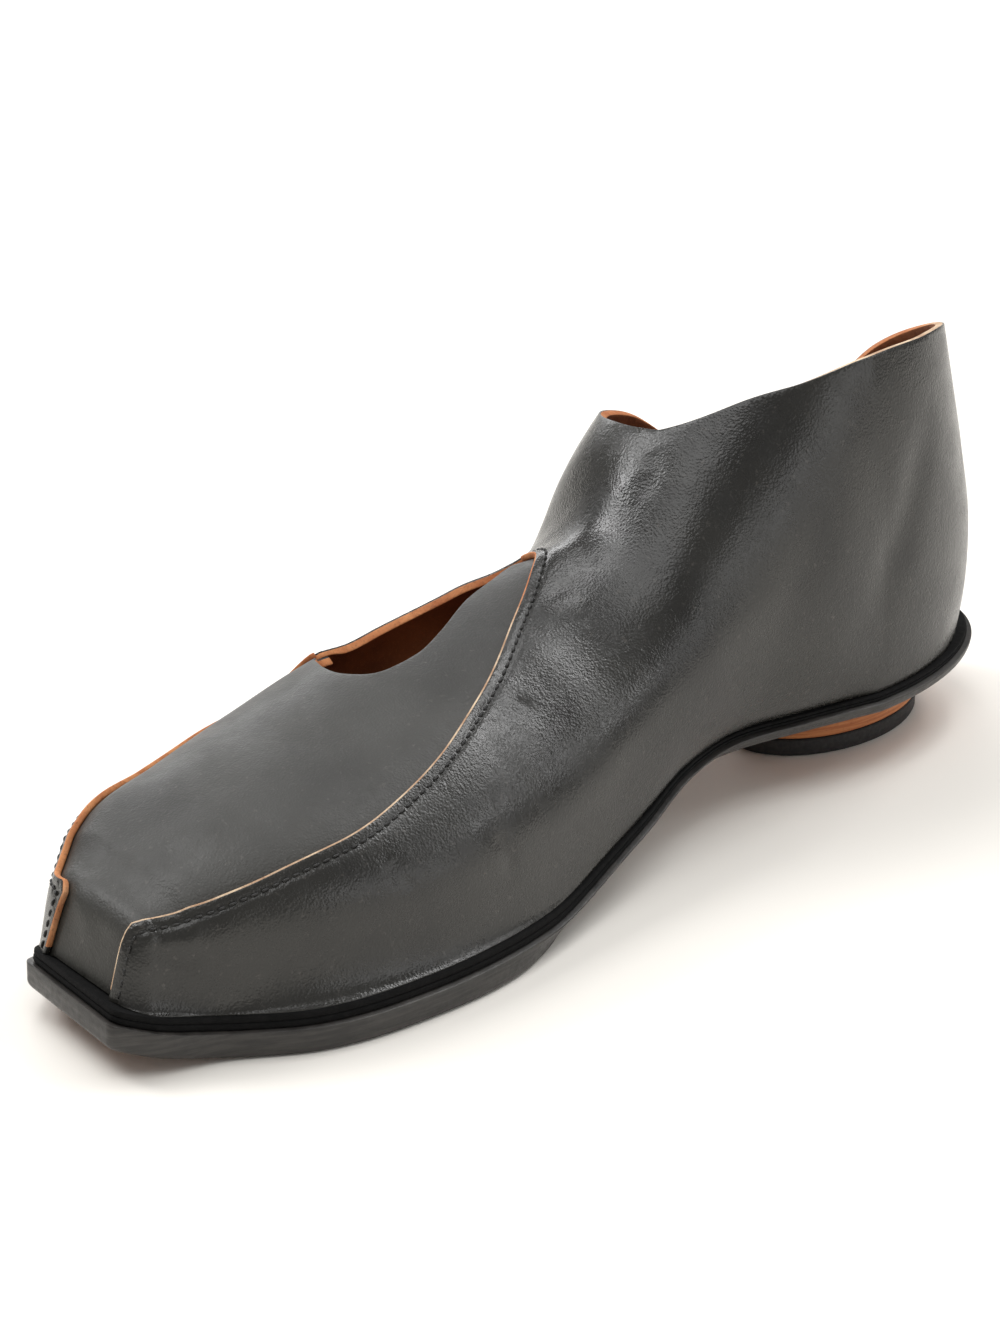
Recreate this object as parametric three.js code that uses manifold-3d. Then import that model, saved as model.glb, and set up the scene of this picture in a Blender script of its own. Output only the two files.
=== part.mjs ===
// Slip-on shoe for the right foot: low chiselled toe, plug vamp, cut-out by the instep, high collar.
// Millimetres, +Z up, toe towards -Y, medial side towards +X, floor at Z = 0.
import * as THREE from 'three';
import { mergeVertices } from 'three/addons/utils/BufferGeometryUtils.js';
import Module from 'manifold-3d';

const wasm = await Module();
wasm.setup();

// Sizes of the whole shoe
const LENGTH = 280; // outsole, toe to heel
const BALL_WIDTH = 98; // outsole at the ball of the foot
const INSTEP_HEIGHT = 44; // upper over its own lower edge, in front of the strap
const COLLAR_HEIGHT = 80; // upper over its own lower edge, at the ankle
const HEEL_HEIGHT = 16.2; // floor to the underside of the heel seat
const TOE_SPRING = 7.3; // floor to the underside of the toe

// Sizes of the pieces
const WALL = 2.2; // leather of the upper
const SEAM_STEP = 1.6; // the plug lies this much deeper than the quarters
const SEAM_LAP = 6; // the quarters cover this much of the plug
const OUTSOLE_FRONT = 6.2; // outsole under the ball
const OUTSOLE_BACK = 2.7; // outsole at the waist and heel seat
const WELT_FRONT = 3;
const WELT_BACK = 1.3;
const WELT_INSET = 0.8; // outsole edge to welt edge
const UPPER_INSET = 2.4; // outsole edge to the lower edge of the upper
const INSOLE = 2.5;
const EDGE_ROUND = 1.6; // lower corner of the outsole
const DIAGONAL = 0.7; // how far out a rounded corner reaches at its middle, share of its radius
const BEVEL_LEFT = 0.8; // share of the bevel that is left over the lower corner
const WELT_ROUND = 0.45; // both edges of the welt
const TOE_SKEW = 2.7; // the lateral toe corner lies this much further back
const UPPER_SKEW = 0.25; // the upper's share of TOE_SKEW
const TOE_LEAN = 11.3; // the toe would lean back this much at INSTEP_HEIGHT
const TOP_PIECE = 4.5; // rubber under the heel
const HEEL_LONG = 56;
const HEEL_WIDE = 36;
const HEEL_FLARE = 1.5; // the lift is this much wider at its top
const HEEL_ROUND = 1;
const GAP = 0.3; // between pieces that lie on each other
const MERGE = 1e-3; // corners closer than this are one

// Places along the shoe, as shares of its length from the toe
const UPPER_TOE = 0.0143;
const UPPER_BACK = 0.979;
const TOE_END = 0.05;
const HEEL_AXIS = 0.804; // widest place of the round heel
const HEEL_PLACE = 0.846; // middle of the heel block
const BACK_LEAN_START = 0.7;
const TOE_LEAN_END = 0.06; // behind the front of the upper
const SKEW_END = 0.1;
const AHEAD = -0.05; // in front of the toe, where cuts start
const SLOPE_STEP = 0.01; // stretch over which the ridge's slope is taken
const STEEPEST = 2; // longest a wall gets upright, in walls

// How finely the forms are divided
const STEPS_TOE = 3;
const STEPS_STRAIGHT = 28;
const STEPS_ROUND = 9;
const STEPS_QUARTER = 8;
const STEPS_TURN = 72;
const STEPS_SEAM = 4;

// Outsole: half widths are shares of BALL_WIDTH, bevel cuts the lower edge back by a share of UPPER_INSET
const SOLE_PLAN = [
  { at: 0, medial: 0.296, lateral: 0.045, bevel: 0 },
  { at: 0.03, medial: 0.341, lateral: 0.097, bevel: 0 },
  { at: 0.08, medial: 0.384, lateral: 0.194, bevel: 0 },
  { at: 0.15, medial: 0.485, lateral: 0.316, bevel: 0 },
  { at: 0.25, medial: 0.527, lateral: 0.434, bevel: 0 },
  { at: 0.34, medial: 0.51, lateral: 0.474, bevel: 0.1 },
  { at: 0.45, medial: 0.43, lateral: 0.459, bevel: 2.5 },
  { at: 0.52, medial: 0.372, lateral: 0.418, bevel: 3.2 },
  { at: 0.58, medial: 0.31, lateral: 0.383, bevel: 2.2 },
  { at: 0.65, medial: 0.26, lateral: 0.347, bevel: 0.5 },
  { at: 0.73, medial: 0.286, lateral: 0.327, bevel: 0.2 },
  { at: 0.804, medial: 0.322, lateral: 0.32, bevel: 0.1 },
];

// Underside of the outsole: shares of HEEL_HEIGHT and TOE_SPRING
const SOLE_PROFILE = [
  { at: 0, heel: 0, toe: 1, back: 0 },
  { at: 0.045, heel: 0, toe: 0.42, back: 0 },
  { at: 0.1, heel: 0, toe: 0.04, back: 0 },
  { at: 0.14, heel: 0, toe: 0, back: 0 },
  { at: 0.38, heel: 0, toe: 0, back: 0 },
  { at: 0.5, heel: 0.57, toe: 0, back: 0.58 },
  { at: 0.6, heel: 0.96, toe: 0, back: 0.8 },
  { at: 0.68, heel: 1, toe: 0, back: 0.9 },
  { at: 1, heel: 1, toe: 0, back: 1 },
];

// Sections of the upper: margin is a share of UPPER_INSET, medial, lateral and ridge of BALL_WIDTH,
// rise and instep of INSTEP_HEIGHT, ankle of COLLAR_HEIGHT; 2 is an ellipse, more is fuller.
const UPPER_SECTIONS = [
  { at: 0.0143, margin: 1, medial: 0.29, lateral: 0.035, rise: 0.14, ridge: 0.118, instep: 0.4, ankle: 0,
    fullMedial: 4.5, fullLateral: 3.6 },
  { at: 0.043, margin: 1, medial: 0.306, lateral: 0.106, rise: 0.18, ridge: 0.107, instep: 0.5, ankle: 0,
    fullMedial: 3.2, fullLateral: 3.3 },
  { at: 0.1, margin: 1, medial: 0.364, lateral: 0.215, rise: 0.27, ridge: 0.086, instep: 0.717, ankle: 0,
    fullMedial: 2.7, fullLateral: 3 },
  { at: 0.171, margin: 1, medial: 0.431, lateral: 0.282, rise: 0.32, ridge: 0.063, instep: 0.842, ankle: 0,
    fullMedial: 2.4, fullLateral: 2.35 },
  { at: 0.264, margin: 1, medial: 0.469, lateral: 0.37, rise: 0.34, ridge: 0.027, instep: 0.926, ankle: 0,
    fullMedial: 2.1, fullLateral: 2.1 },
  { at: 0.357, margin: 1, medial: 0.454, lateral: 0.398, rise: 0.36, ridge: -0.014, instep: 1.046, ankle: 0,
    fullMedial: 2, fullLateral: 2.15 },
  { at: 0.446, margin: 1, medial: 0.406, lateral: 0.383, rise: 0.41, ridge: -0.035, instep: 1.074, ankle: 0,
    fullMedial: 1.9, fullLateral: 2.2 },
  { at: 0.507, margin: 1, medial: 0.368, lateral: 0.347, rise: 0.45, ridge: -0.035, instep: 1.06, ankle: 0,
    fullMedial: 1.9, fullLateral: 2.1 },
  { at: 0.543, margin: 1, medial: 0.35, lateral: 0.332, rise: 0.5, ridge: -0.015, instep: 1.02, ankle: 0.049,
    fullMedial: 1.9, fullLateral: 1.47 },
  { at: 0.565, margin: 1, medial: 0.34, lateral: 0.328, rise: 0.527, ridge: -0.011, instep: 0.826, ankle: 0.162,
    fullMedial: 1.9, fullLateral: 1.38 },
  { at: 0.586, margin: 1, medial: 0.331, lateral: 0.327, rise: 0.55, ridge: -0.014, instep: 0.6, ankle: 0.37,
    fullMedial: 1.9, fullLateral: 1.35 },
  { at: 0.62, margin: 1, medial: 0.316, lateral: 0.335, rise: 0.574, ridge: -0.02, instep: 0.286, ankle: 0.663,
    fullMedial: 1.93, fullLateral: 2.19 },
  { at: 0.661, margin: 1, medial: 0.304, lateral: 0.347, rise: 0.59, ridge: -0.023, instep: 0, ankle: 0.942,
    fullMedial: 2, fullLateral: 2.67 },
  { at: 0.75, margin: 1, medial: 0.312, lateral: 0.34, rise: 0.59, ridge: -0.015, instep: 0, ankle: 1.25,
    fullMedial: 2.2, fullLateral: 2.3 },
  { at: 0.804, margin: 1, medial: 0.3, lateral: 0.33, rise: 0.59, ridge: 0, instep: 0, ankle: 1.38,
    fullMedial: 2.3, fullLateral: 2.3 },
];

// Back of the heel: how far it stands out, by height, both shares of COLLAR_HEIGHT
const BACK_CURVE = [
  { up: 0, out: 0.004 },
  { up: 0.15, out: 0.028 },
  { up: 0.35, out: 0.024 },
  { up: 0.62, out: -0.033 },
  { up: 0.9, out: -0.096 },
  { up: 1.19, out: -0.142 },
  { up: 1.5, out: -0.15 },
];

// Rim of the collar: degrees around the ankle from the toe over the medial side, share of COLLAR_HEIGHT
const RIM = [
  { turn: 0, height: 0.872 },
  { turn: 23, height: 0.966 },
  { turn: 46, height: 1.008 },
  { turn: 92, height: 1.051 },
  { turn: 130, height: 1.043 },
  { turn: 157, height: 1.012 },
  { turn: 180, height: 0.936 },
  { turn: 198, height: 0.832 },
  { turn: 222, height: 0.58 },
  { turn: 250, height: 0.56 },
  { turn: 280, height: 0.58 },
  { turn: 310, height: 0.75 },
  { turn: 335, height: 0.828 },
];
const RIM_CENTRE = 0.793; // share of LENGTH
const RIM_CORE = 0.1; // the rim's cut starts this far from the middle, share of BALL_WIDTH

// Seams and cut-out in plan: at is a share of LENGTH, across of BALL_WIDTH, medial side positive
const SEAM_MEDIAL = [
  { at: 0.014, across: 0.24 },
  { at: 0.034, across: 0.244 },
  { at: 0.041, across: 0.258 },
  { at: 0.056, across: 0.271 },
  { at: 0.095, across: 0.319 },
  { at: 0.145, across: 0.352 },
  { at: 0.206, across: 0.367 },
  { at: 0.263, across: 0.341 },
  { at: 0.329, across: 0.285 },
  { at: 0.402, across: 0.178 },
  { at: 0.461, across: 0.069 },
  { at: 0.507, across: -0.025 },
  { at: 0.535, across: -0.095 },
  { at: 0.546, across: -0.19 },
];
const SEAM_LATERAL = [
  { at: 0.362, across: -0.325 },
  { at: 0.345, across: -0.365 },
  { at: 0.293, across: -0.362 },
  { at: 0.232, across: -0.316 },
  { at: 0.171, across: -0.252 },
  { at: 0.114, across: -0.199 },
  { at: 0.095, across: -0.173 },
  { at: 0.076, across: -0.14 },
  { at: 0.056, across: -0.099 },
  { at: 0.045, across: -0.072 },
  { at: 0.038, across: -0.035 },
  { at: 0.033, across: 0.012 },
  { at: 0.014, across: -0.01 },
];
// The plug ends in the open cut-out, along this line
const HOLE_MIDDLE = [
  { at: 0.54, across: -0.215 },
  { at: 0.45, across: -0.22 },
  { at: 0.375, across: -0.27 },
];
const HOLE_PLUG_SIDE = [
  { at: 0.552, across: -0.18 },
  { at: 0.505, across: -0.136 },
  { at: 0.462, across: -0.102 },
  { at: 0.418, across: -0.046 },
  { at: 0.38, across: -0.008 },
  { at: 0.343, across: -0.012 },
  { at: 0.326, across: -0.08 },
  { at: 0.328, across: -0.16 },
  { at: 0.343, across: -0.25 },
];
const HOLE_STRAP_SIDE = [
  { at: 0.368, across: -0.33 },
  { at: 0.41, across: -0.35 },
  { at: 0.455, across: -0.347 },
  { at: 0.5, across: -0.317 },
  { at: 0.53, across: -0.27 },
  { at: 0.55, across: -0.215 },
];

// Millimetres from the shares used in the tables
const along = (at) => (at - 0.5) * LENGTH;
const share = (y) => y / LENGTH + 0.5;
const TOE_Y = along(0);
const HEEL_AXIS_Y = along(HEEL_AXIS);
const UPPER_TOE_Y = along(UPPER_TOE);
const UPPER_BACK_Y = along(UPPER_BACK);
const HEEL_Y = along(HEEL_PLACE);

// A smooth line through a column of a table; a table of heights that must not overshoot is held level
function column(rows, key, value, level = false) {
  const x = rows.map((row) => row[key]);
  const v = rows.map((row) => row[value]);
  const last = x.length - 1;
  const grade = (i) => (v[i + 1] - v[i]) / (x[i + 1] - x[i]);
  const slope = x.map((_, i) => {
    if (i === 0) return grade(0);
    if (i === last) return grade(last - 1);
    const before = x[i] - x[i - 1];
    const after = x[i + 1] - x[i];
    if (!level) return (after * grade(i - 1) + before * grade(i)) / (before + after);
    if (grade(i - 1) * grade(i) <= 0) return 0;
    const near = 2 * after + before;
    const far = after + 2 * before;
    return (near + far) / (near / grade(i - 1) + far / grade(i));
  });
  return (place) => {
    const t = Math.min(Math.max(place, x[0]), x[last]);
    let i = 0;
    while (i < last - 1 && t > x[i + 1]) i += 1;
    const span = x[i + 1] - x[i];
    const u = (t - x[i]) / span;
    return (1 + 2 * u) * (1 - u) ** 2 * v[i] + u * (1 - u) ** 2 * span * slope[i]
      + u * u * (3 - 2 * u) * v[i + 1] + u * u * (u - 1) * span * slope[i + 1];
  };
}

const columns = (rows, key, names, level) => {
  const made = {};
  for (const name of names) made[name] = column(rows, key, name, level);
  return made;
};
const plan = columns(SOLE_PLAN, 'at', ['medial', 'lateral', 'bevel']);
const profile = columns(SOLE_PROFILE, 'at', ['heel', 'toe', 'back'], true);
const section = columns(UPPER_SECTIONS, 'at',
  ['margin', 'medial', 'lateral', 'rise', 'ridge', 'instep', 'ankle', 'fullMedial', 'fullLateral']);
const backCurve = column(BACK_CURVE, 'up', 'out');

const mix = (front, back, at) => front + (back - front) * profile.back(at);
const soleUnder = (at) => HEEL_HEIGHT * profile.heel(at) + TOE_SPRING * profile.toe(at);
const soleTop = (at) => soleUnder(at) + mix(OUTSOLE_FRONT, OUTSOLE_BACK, at);
const weltTop = (at) => soleTop(at) + GAP + mix(WELT_FRONT, WELT_BACK, at);
const lowerEdge = (at) => weltTop(at) + GAP;

// Places of the sections between a front and a back. All pieces share them from TOE_END to the heel,
// so that their faces run side by side. narrow takes the width in to nothing along an ellipse.
function stations(front, back) {
  const list = [];
  const end = along(TOE_END);
  for (let i = 0; i < STEPS_TOE; i += 1) {
    list.push({ y: front + (end - front) * (i / STEPS_TOE), narrow: 1 });
  }
  for (let i = 0; i <= STEPS_STRAIGHT; i += 1) {
    list.push({ y: end + (HEEL_AXIS_Y - end) * (i / STEPS_STRAIGHT), narrow: 1 });
  }
  for (let i = 1; i <= STEPS_ROUND; i += 1) {
    const angle = (i / STEPS_ROUND) * (Math.PI / 2);
    const narrow = i === STEPS_ROUND ? 0 : Math.cos(angle);
    list.push({ y: HEEL_AXIS_Y + (back - HEEL_AXIS_Y) * Math.sin(angle), narrow });
  }
  return list;
}

// Closed body through rings with the same number of points; both ends are closed by a flat fan
function loft(rings) {
  const count = rings[0].length;
  const positions = rings.flat(2);
  const faces = [];
  for (let i = 0; i + 1 < rings.length; i += 1) {
    for (let j = 0; j < count; j += 1) {
      const next = (j + 1) % count;
      const a = i * count + j;
      const b = i * count + next;
      const c = (i + 1) * count + next;
      const d = (i + 1) * count + j;
      faces.push([a, b, c], [a, c, d]);
    }
  }
  const cap = (ring, flip) => {
    const middle = positions.length / 3;
    for (let k = 0; k < 3; k += 1) {
      positions.push(rings[ring].reduce((sum, point) => sum + point[k], 0) / count);
    }
    for (let j = 0; j < count; j += 1) {
      const a = ring * count + j;
      const b = ring * count + ((j + 1) % count);
      faces.push(flip ? [middle, b, a] : [middle, a, b]);
    }
  };
  cap(0, true);
  cap(rings.length - 1, false);
  return closed(positions, faces.flat());
}

// Merges equal corners, drops faces without area and turns the body's faces out
function closed(positions, index) {
  let geometry = new THREE.BufferGeometry();
  geometry.setAttribute('position', new THREE.Float32BufferAttribute(positions, 3));
  geometry.setIndex(index);
  geometry = mergeVertices(geometry, MERGE);
  const merged = geometry.index.array;
  const p = geometry.attributes.position;
  const [a, b, c] = [new THREE.Vector3(), new THREE.Vector3(), new THREE.Vector3()];
  const kept = [];
  let volume = 0;
  for (let i = 0; i < merged.length; i += 3) {
    const [i0, i1, i2] = [merged[i], merged[i + 1], merged[i + 2]];
    if (i0 === i1 || i1 === i2 || i2 === i0) continue;
    a.fromBufferAttribute(p, i0);
    b.fromBufferAttribute(p, i1);
    c.fromBufferAttribute(p, i2);
    volume += a.dot(b.cross(c));
    kept.push(i0, i1, i2);
  }
  geometry.setIndex(volume < 0 ? kept.reverse() : kept);
  return geometry;
}

function solid(geometry) {
  const bare = geometry.clone();
  bare.deleteAttribute('normal');
  bare.deleteAttribute('uv');
  const merged = mergeVertices(bare, MERGE);
  const vertProperties = new Float32Array(merged.attributes.position.array);
  const triVerts = new Uint32Array(merged.index.array);
  return new wasm.Manifold(new wasm.Mesh({ numProp: 3, vertProperties, triVerts }));
}

// The main body of a cut solid, without the slivers that cuts along shared faces leave
function largest(body) {
  return body.decompose().reduce((best, one) => (one.volume() > best.volume() ? one : best));
}

function geometryOf(body) {
  const mesh = body.getMesh();
  const geometry = new THREE.BufferGeometry();
  geometry.setAttribute('position', new THREE.BufferAttribute(new Float32Array(mesh.vertProperties), 3));
  geometry.setIndex(new THREE.BufferAttribute(new Uint32Array(mesh.triVerts), 1));
  return geometry;
}

// Outsole outline, set in by a distance; the toe edge runs back towards the lateral corner
function outlineAt(y, inset) {
  const at = share(y);
  return {
    medial: plan.medial(at) * BALL_WIDTH - inset,
    lateral: -plan.lateral(at) * BALL_WIDTH + inset,
  };
}
const skew = (x, y) => {
  const edge = outlineAt(TOE_Y, 0);
  const across = (edge.medial - x) / (edge.medial - edge.lateral);
  const fade = Math.max(0, 1 - (y - TOE_Y) / (SKEW_END * LENGTH));
  return TOE_SKEW * Math.min(Math.max(across, 0), 1) * fade;
};

// Flat layer of the sole: each level is { inset, height(at) }, from the lowest to the highest
function slab(front, back, levels) {
  const rows = levels.map((level) => stations(front + level.inset(share(front)), back - level.inset(1)));
  const rings = rows[0].map((_, i) => {
    const medial = [];
    const lateral = [];
    levels.forEach((level, k) => {
      const { y, narrow } = rows[k][i];
      const at = share(y);
      const half = outlineAt(y, level.inset(at));
      const z = level.height(at);
      const xm = half.medial * narrow;
      const xl = half.lateral * narrow;
      medial.push([xm, y + skew(xm, y), z]);
      lateral.unshift([xl, y + skew(xl, y), z]);
    });
    return [...medial, ...lateral];
  });
  return loft(rings);
}

const even = (inset) => () => inset;

function outsole() {
  const cut = (at) => UPPER_INSET * plan.bevel(at);
  const corner = (1 - DIAGONAL) * EDGE_ROUND;
  return slab(TOE_Y, -TOE_Y, [
    { inset: (at) => EDGE_ROUND + cut(at), height: soleUnder },
    { inset: (at) => corner + cut(at), height: (at) => soleUnder(at) + corner },
    { inset: (at) => BEVEL_LEFT * cut(at), height: (at) => soleUnder(at) + EDGE_ROUND },
    { inset: even(0), height: soleTop },
  ]);
}

function welt() {
  const under = (at) => soleTop(at) + GAP;
  return slab(TOE_Y, -TOE_Y, [
    { inset: even(WELT_INSET + WELT_ROUND), height: under },
    { inset: even(WELT_INSET), height: (at) => under(at) + WELT_ROUND },
    { inset: even(WELT_INSET), height: (at) => weltTop(at) - WELT_ROUND },
    { inset: even(WELT_INSET + WELT_ROUND), height: weltTop },
  ]);
}

// One section of the last: a quarter round from the lower edge to the bulge, then a superellipse over
// the ridge, on both sides. The back of the heel leans by BACK_CURVE, the toe by TOE_LEAN.
function sectionRing({ y, narrow }, inset, drop) {
  const at = share(y);
  const rise = section.rise(at) * INSTEP_HEIGHT;
  const top = (t) => section.instep(t) * INSTEP_HEIGHT + section.ankle(t) * COLLAR_HEIGHT;
  const slope = (top(at + SLOPE_STEP) - top(at - SLOPE_STEP)) / (2 * SLOPE_STEP * LENGTH);
  const height = top(at) - inset * Math.min(Math.hypot(1, slope), STEEPEST);
  const ridge = section.ridge(at) * BALL_WIDTH;
  const edge = outlineAt(y, section.margin(at) * UPPER_INSET + inset);
  const blend = THREE.MathUtils.smoothstep(y, along(BACK_LEAN_START), UPPER_BACK_Y);
  const fade = Math.max(0, 1 - (y - inset - UPPER_TOE_Y) / (TOE_LEAN_END * LENGTH));
  const back = (up) => blend * backCurve(up / COLLAR_HEIGHT) * COLLAR_HEIGHT;
  const toe = (up) => fade * TOE_LEAN * Math.max(up, 0) / INSTEP_HEIGHT;
  const foot = (x) => lowerEdge(share(y - (1 - UPPER_SKEW) * skew(x, y)));
  const lean = (x, up) => [x, y + back(up) + toe(up) + UPPER_SKEW * skew(x, y), foot(x) + up];
  const place = (x, up) => lean(x * narrow, up);
  const side = (start, bulge, full) => {
    const points = drop > 0 ? [place(start, -drop)] : [];
    for (let i = 0; i <= STEPS_QUARTER; i += 1) {
      const angle = (i / STEPS_QUARTER) * (Math.PI / 2);
      const x = start + (bulge - start) * Math.sin(angle);
      points.push(place(x, rise * (1 - Math.cos(angle))));
    }
    for (let i = 1; i <= STEPS_QUARTER; i += 1) {
      const angle = (i / STEPS_QUARTER) * (Math.PI / 2);
      const x = ridge + (bulge - ridge) * Math.max(Math.cos(angle), 0) ** (2 / full);
      points.push(place(x, rise + (height - rise) * Math.sin(angle) ** (2 / full)));
    }
    return points;
  };
  const medial = side(edge.medial, section.medial(at) * BALL_WIDTH - inset, section.fullMedial(at));
  const lateral = side(edge.lateral, -section.lateral(at) * BALL_WIDTH + inset, section.fullLateral(at));
  return [...medial, ...lateral.reverse().slice(1)];
}

function lastForm(inset, drop = 0) {
  const list = stations(UPPER_TOE_Y + inset, UPPER_BACK_Y - inset);
  return solid(loft(list.map((station) => sectionRing(station, inset, drop))));
}

// Upright prism over an outline given by stretches of table rows
function prism(stretches, low, high) {
  const shape = new THREE.Shape();
  const flat = (row) => new THREE.Vector2(row.across * BALL_WIDTH, along(row.at));
  stretches.forEach((rows, k) => {
    const line = new THREE.SplineCurve(rows.map(flat));
    const points = line.getPoints(rows.length * STEPS_SEAM);
    points.forEach((point, i) => {
      if (k === 0 && i === 0) shape.moveTo(point.x, point.y);
      else shape.lineTo(point.x, point.y);
    });
  });
  const geometry = new THREE.ExtrudeGeometry(shape, { depth: high - low, bevelEnabled: false });
  geometry.translate(0, 0, low);
  return solid(geometry);
}

// The plug's plan, widened on both sides; it runs out in front of the toe
function plugPrism(widen, low, high) {
  const moved = (rows, by) => rows.map((row) => ({ at: row.at, across: row.across + by / BALL_WIDTH }));
  const medial = moved(SEAM_MEDIAL, widen);
  const lateral = moved(SEAM_LATERAL, -widen);
  const ahead = (row) => ({ at: AHEAD, across: row.across });
  const front = [ahead(lateral[lateral.length - 1]), ahead(medial[0])];
  return prism([medial, HOLE_MIDDLE, lateral, front], low, high);
}

// Everything above the rim of the collar
function collarCutter(high) {
  const wrap = [...RIM, { turn: 360, height: RIM[0].height }];
  const rim = column(wrap, 'turn', 'height');
  const seat = lowerEdge(1);
  const near = RIM_CORE * BALL_WIDTH;
  const far = BALL_WIDTH;
  const ring = (radius, level) => Array.from({ length: STEPS_TURN }, (_, i) => {
    const turn = (i / STEPS_TURN) * 360;
    const angle = THREE.MathUtils.degToRad(turn);
    const x = radius * Math.sin(angle);
    const y = along(RIM_CENTRE) - radius * Math.cos(angle);
    return [x, y, level ?? seat + rim(turn) * COLLAR_HEIGHT];
  });
  return solid(loft([ring(near), ring(far), ring(far, high)]));
}

const HIGH = 2 * (COLLAR_HEIGHT + HEEL_HEIGHT + INSTEP_HEIGHT);
const BELOW = HEEL_HEIGHT + OUTSOLE_FRONT;

// Room inside the upper, kept clear of its wall; the wall is doubled where the quarters cover the plug
function cavity(clear) {
  const lining = plugPrism(SEAM_LAP + clear, 0, HIGH).subtract(lastForm(WALL + SEAM_STEP + clear, 2 * BELOW));
  return lastForm(WALL + clear, BELOW).subtract(lining);
}

function upper() {
  const recess = plugPrism(0, 0, HIGH).subtract(lastForm(SEAM_STEP, BELOW));
  const hole = prism([HOLE_PLUG_SIDE, HOLE_STRAP_SIDE], 0, HIGH);
  const wall = lastForm(0).subtract(recess).subtract(cavity(0)).subtract(hole).subtract(collarCutter(HIGH));
  return geometryOf(largest(wall));
}

function insole() {
  const layer = slab(TOE_Y, -TOE_Y, [
    { inset: even(WELT_INSET), height: lowerEdge },
    { inset: even(WELT_INSET), height: (at) => lowerEdge(at) + INSOLE },
  ]);
  return geometryOf(largest(solid(layer).intersect(cavity(GAP))));
}

// Oval block of the heel: levels are { z, grow }, from the lowest to the highest
function heelBlock(levels) {
  const rings = levels.map(({ z, grow }) => Array.from({ length: STEPS_TURN / 2 }, (_, i) => {
    const angle = (i / (STEPS_TURN / 2)) * 2 * Math.PI;
    const x = (HEEL_WIDE / 2 + grow) * Math.cos(angle);
    const y = HEEL_Y + (HEEL_LONG / 2 + grow) * Math.sin(angle);
    return [x, y, z];
  }));
  return loft(rings);
}

const topPiece = () => heelBlock([
  { z: 0, grow: -HEEL_ROUND },
  { z: HEEL_ROUND, grow: 0 },
  { z: TOP_PIECE, grow: 0 },
]);
const heelLift = () => heelBlock([
  { z: TOP_PIECE + GAP, grow: 0 },
  { z: HEEL_HEIGHT - GAP, grow: HEEL_FLARE },
]);

const finish = (color, roughness) => new THREE.MeshStandardMaterial({ color, roughness, metalness: 0 });
const BLACK_LEATHER = finish(0x33312f, 0.5);
const DARK_EDGE = finish(0x35332f, 0.45);
const WELT_BLACK = finish(0x0d0d0d, 0.6);
const TAN_LEATHER = finish(0xb5713c, 0.6);
const RUBBER = finish(0x18181a, 0.8);

function piece(name, geometry, material) {
  const flat = geometry.index ? geometry.toNonIndexed() : geometry;
  flat.computeVertexNormals();
  const mesh = new THREE.Mesh(flat, material);
  mesh.name = name;
  return mesh;
}

const shoe = new THREE.Group();
shoe.add(piece('upper', upper(), BLACK_LEATHER));
shoe.add(piece('insole', insole(), TAN_LEATHER));
shoe.add(piece('welt', welt(), WELT_BLACK));
shoe.add(piece('outsole', outsole(), DARK_EDGE));
shoe.add(piece('heel_lift', heelLift(), TAN_LEATHER));
shoe.add(piece('heel_top_piece', topPiece(), RUBBER));

// The origin lies on the floor under the middle of the shoe
const middle = new THREE.Box3().setFromObject(shoe).getCenter(new THREE.Vector3());
shoe.position.set(-middle.x, -middle.y, 0);

export default shoe;
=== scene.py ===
"""Dresses the slip-on shoe: the same last as the solids, as fine sheets of leather with raw edges,
stitches, creases and finishes. Lengths are in millimetres until a mesh is made; toe -Y, medial +X."""

import math

import bmesh
import bpy
import numpy as np
from mathutils import Matrix, Vector
from mathutils.kdtree import KDTree


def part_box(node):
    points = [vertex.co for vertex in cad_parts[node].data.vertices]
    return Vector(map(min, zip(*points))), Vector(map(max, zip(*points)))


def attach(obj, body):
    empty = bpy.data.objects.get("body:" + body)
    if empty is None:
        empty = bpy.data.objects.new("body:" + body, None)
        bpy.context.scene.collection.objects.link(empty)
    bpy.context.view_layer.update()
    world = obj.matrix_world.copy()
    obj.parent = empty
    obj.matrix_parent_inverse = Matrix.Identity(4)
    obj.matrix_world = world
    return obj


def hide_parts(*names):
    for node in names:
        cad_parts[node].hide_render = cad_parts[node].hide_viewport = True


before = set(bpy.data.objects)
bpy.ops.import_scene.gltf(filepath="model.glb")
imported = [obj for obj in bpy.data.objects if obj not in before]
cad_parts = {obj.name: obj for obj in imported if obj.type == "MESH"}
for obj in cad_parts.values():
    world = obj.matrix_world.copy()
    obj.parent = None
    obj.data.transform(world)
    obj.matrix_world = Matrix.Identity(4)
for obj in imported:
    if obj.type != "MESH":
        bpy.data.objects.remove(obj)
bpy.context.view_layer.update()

# Sizes of the whole shoe
LENGTH = 280.0
BALL_WIDTH = 98.0
INSTEP_HEIGHT = 44.0
COLLAR_HEIGHT = 80.0
HEEL_HEIGHT = 16.2
TOE_SPRING = 7.3

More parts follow.
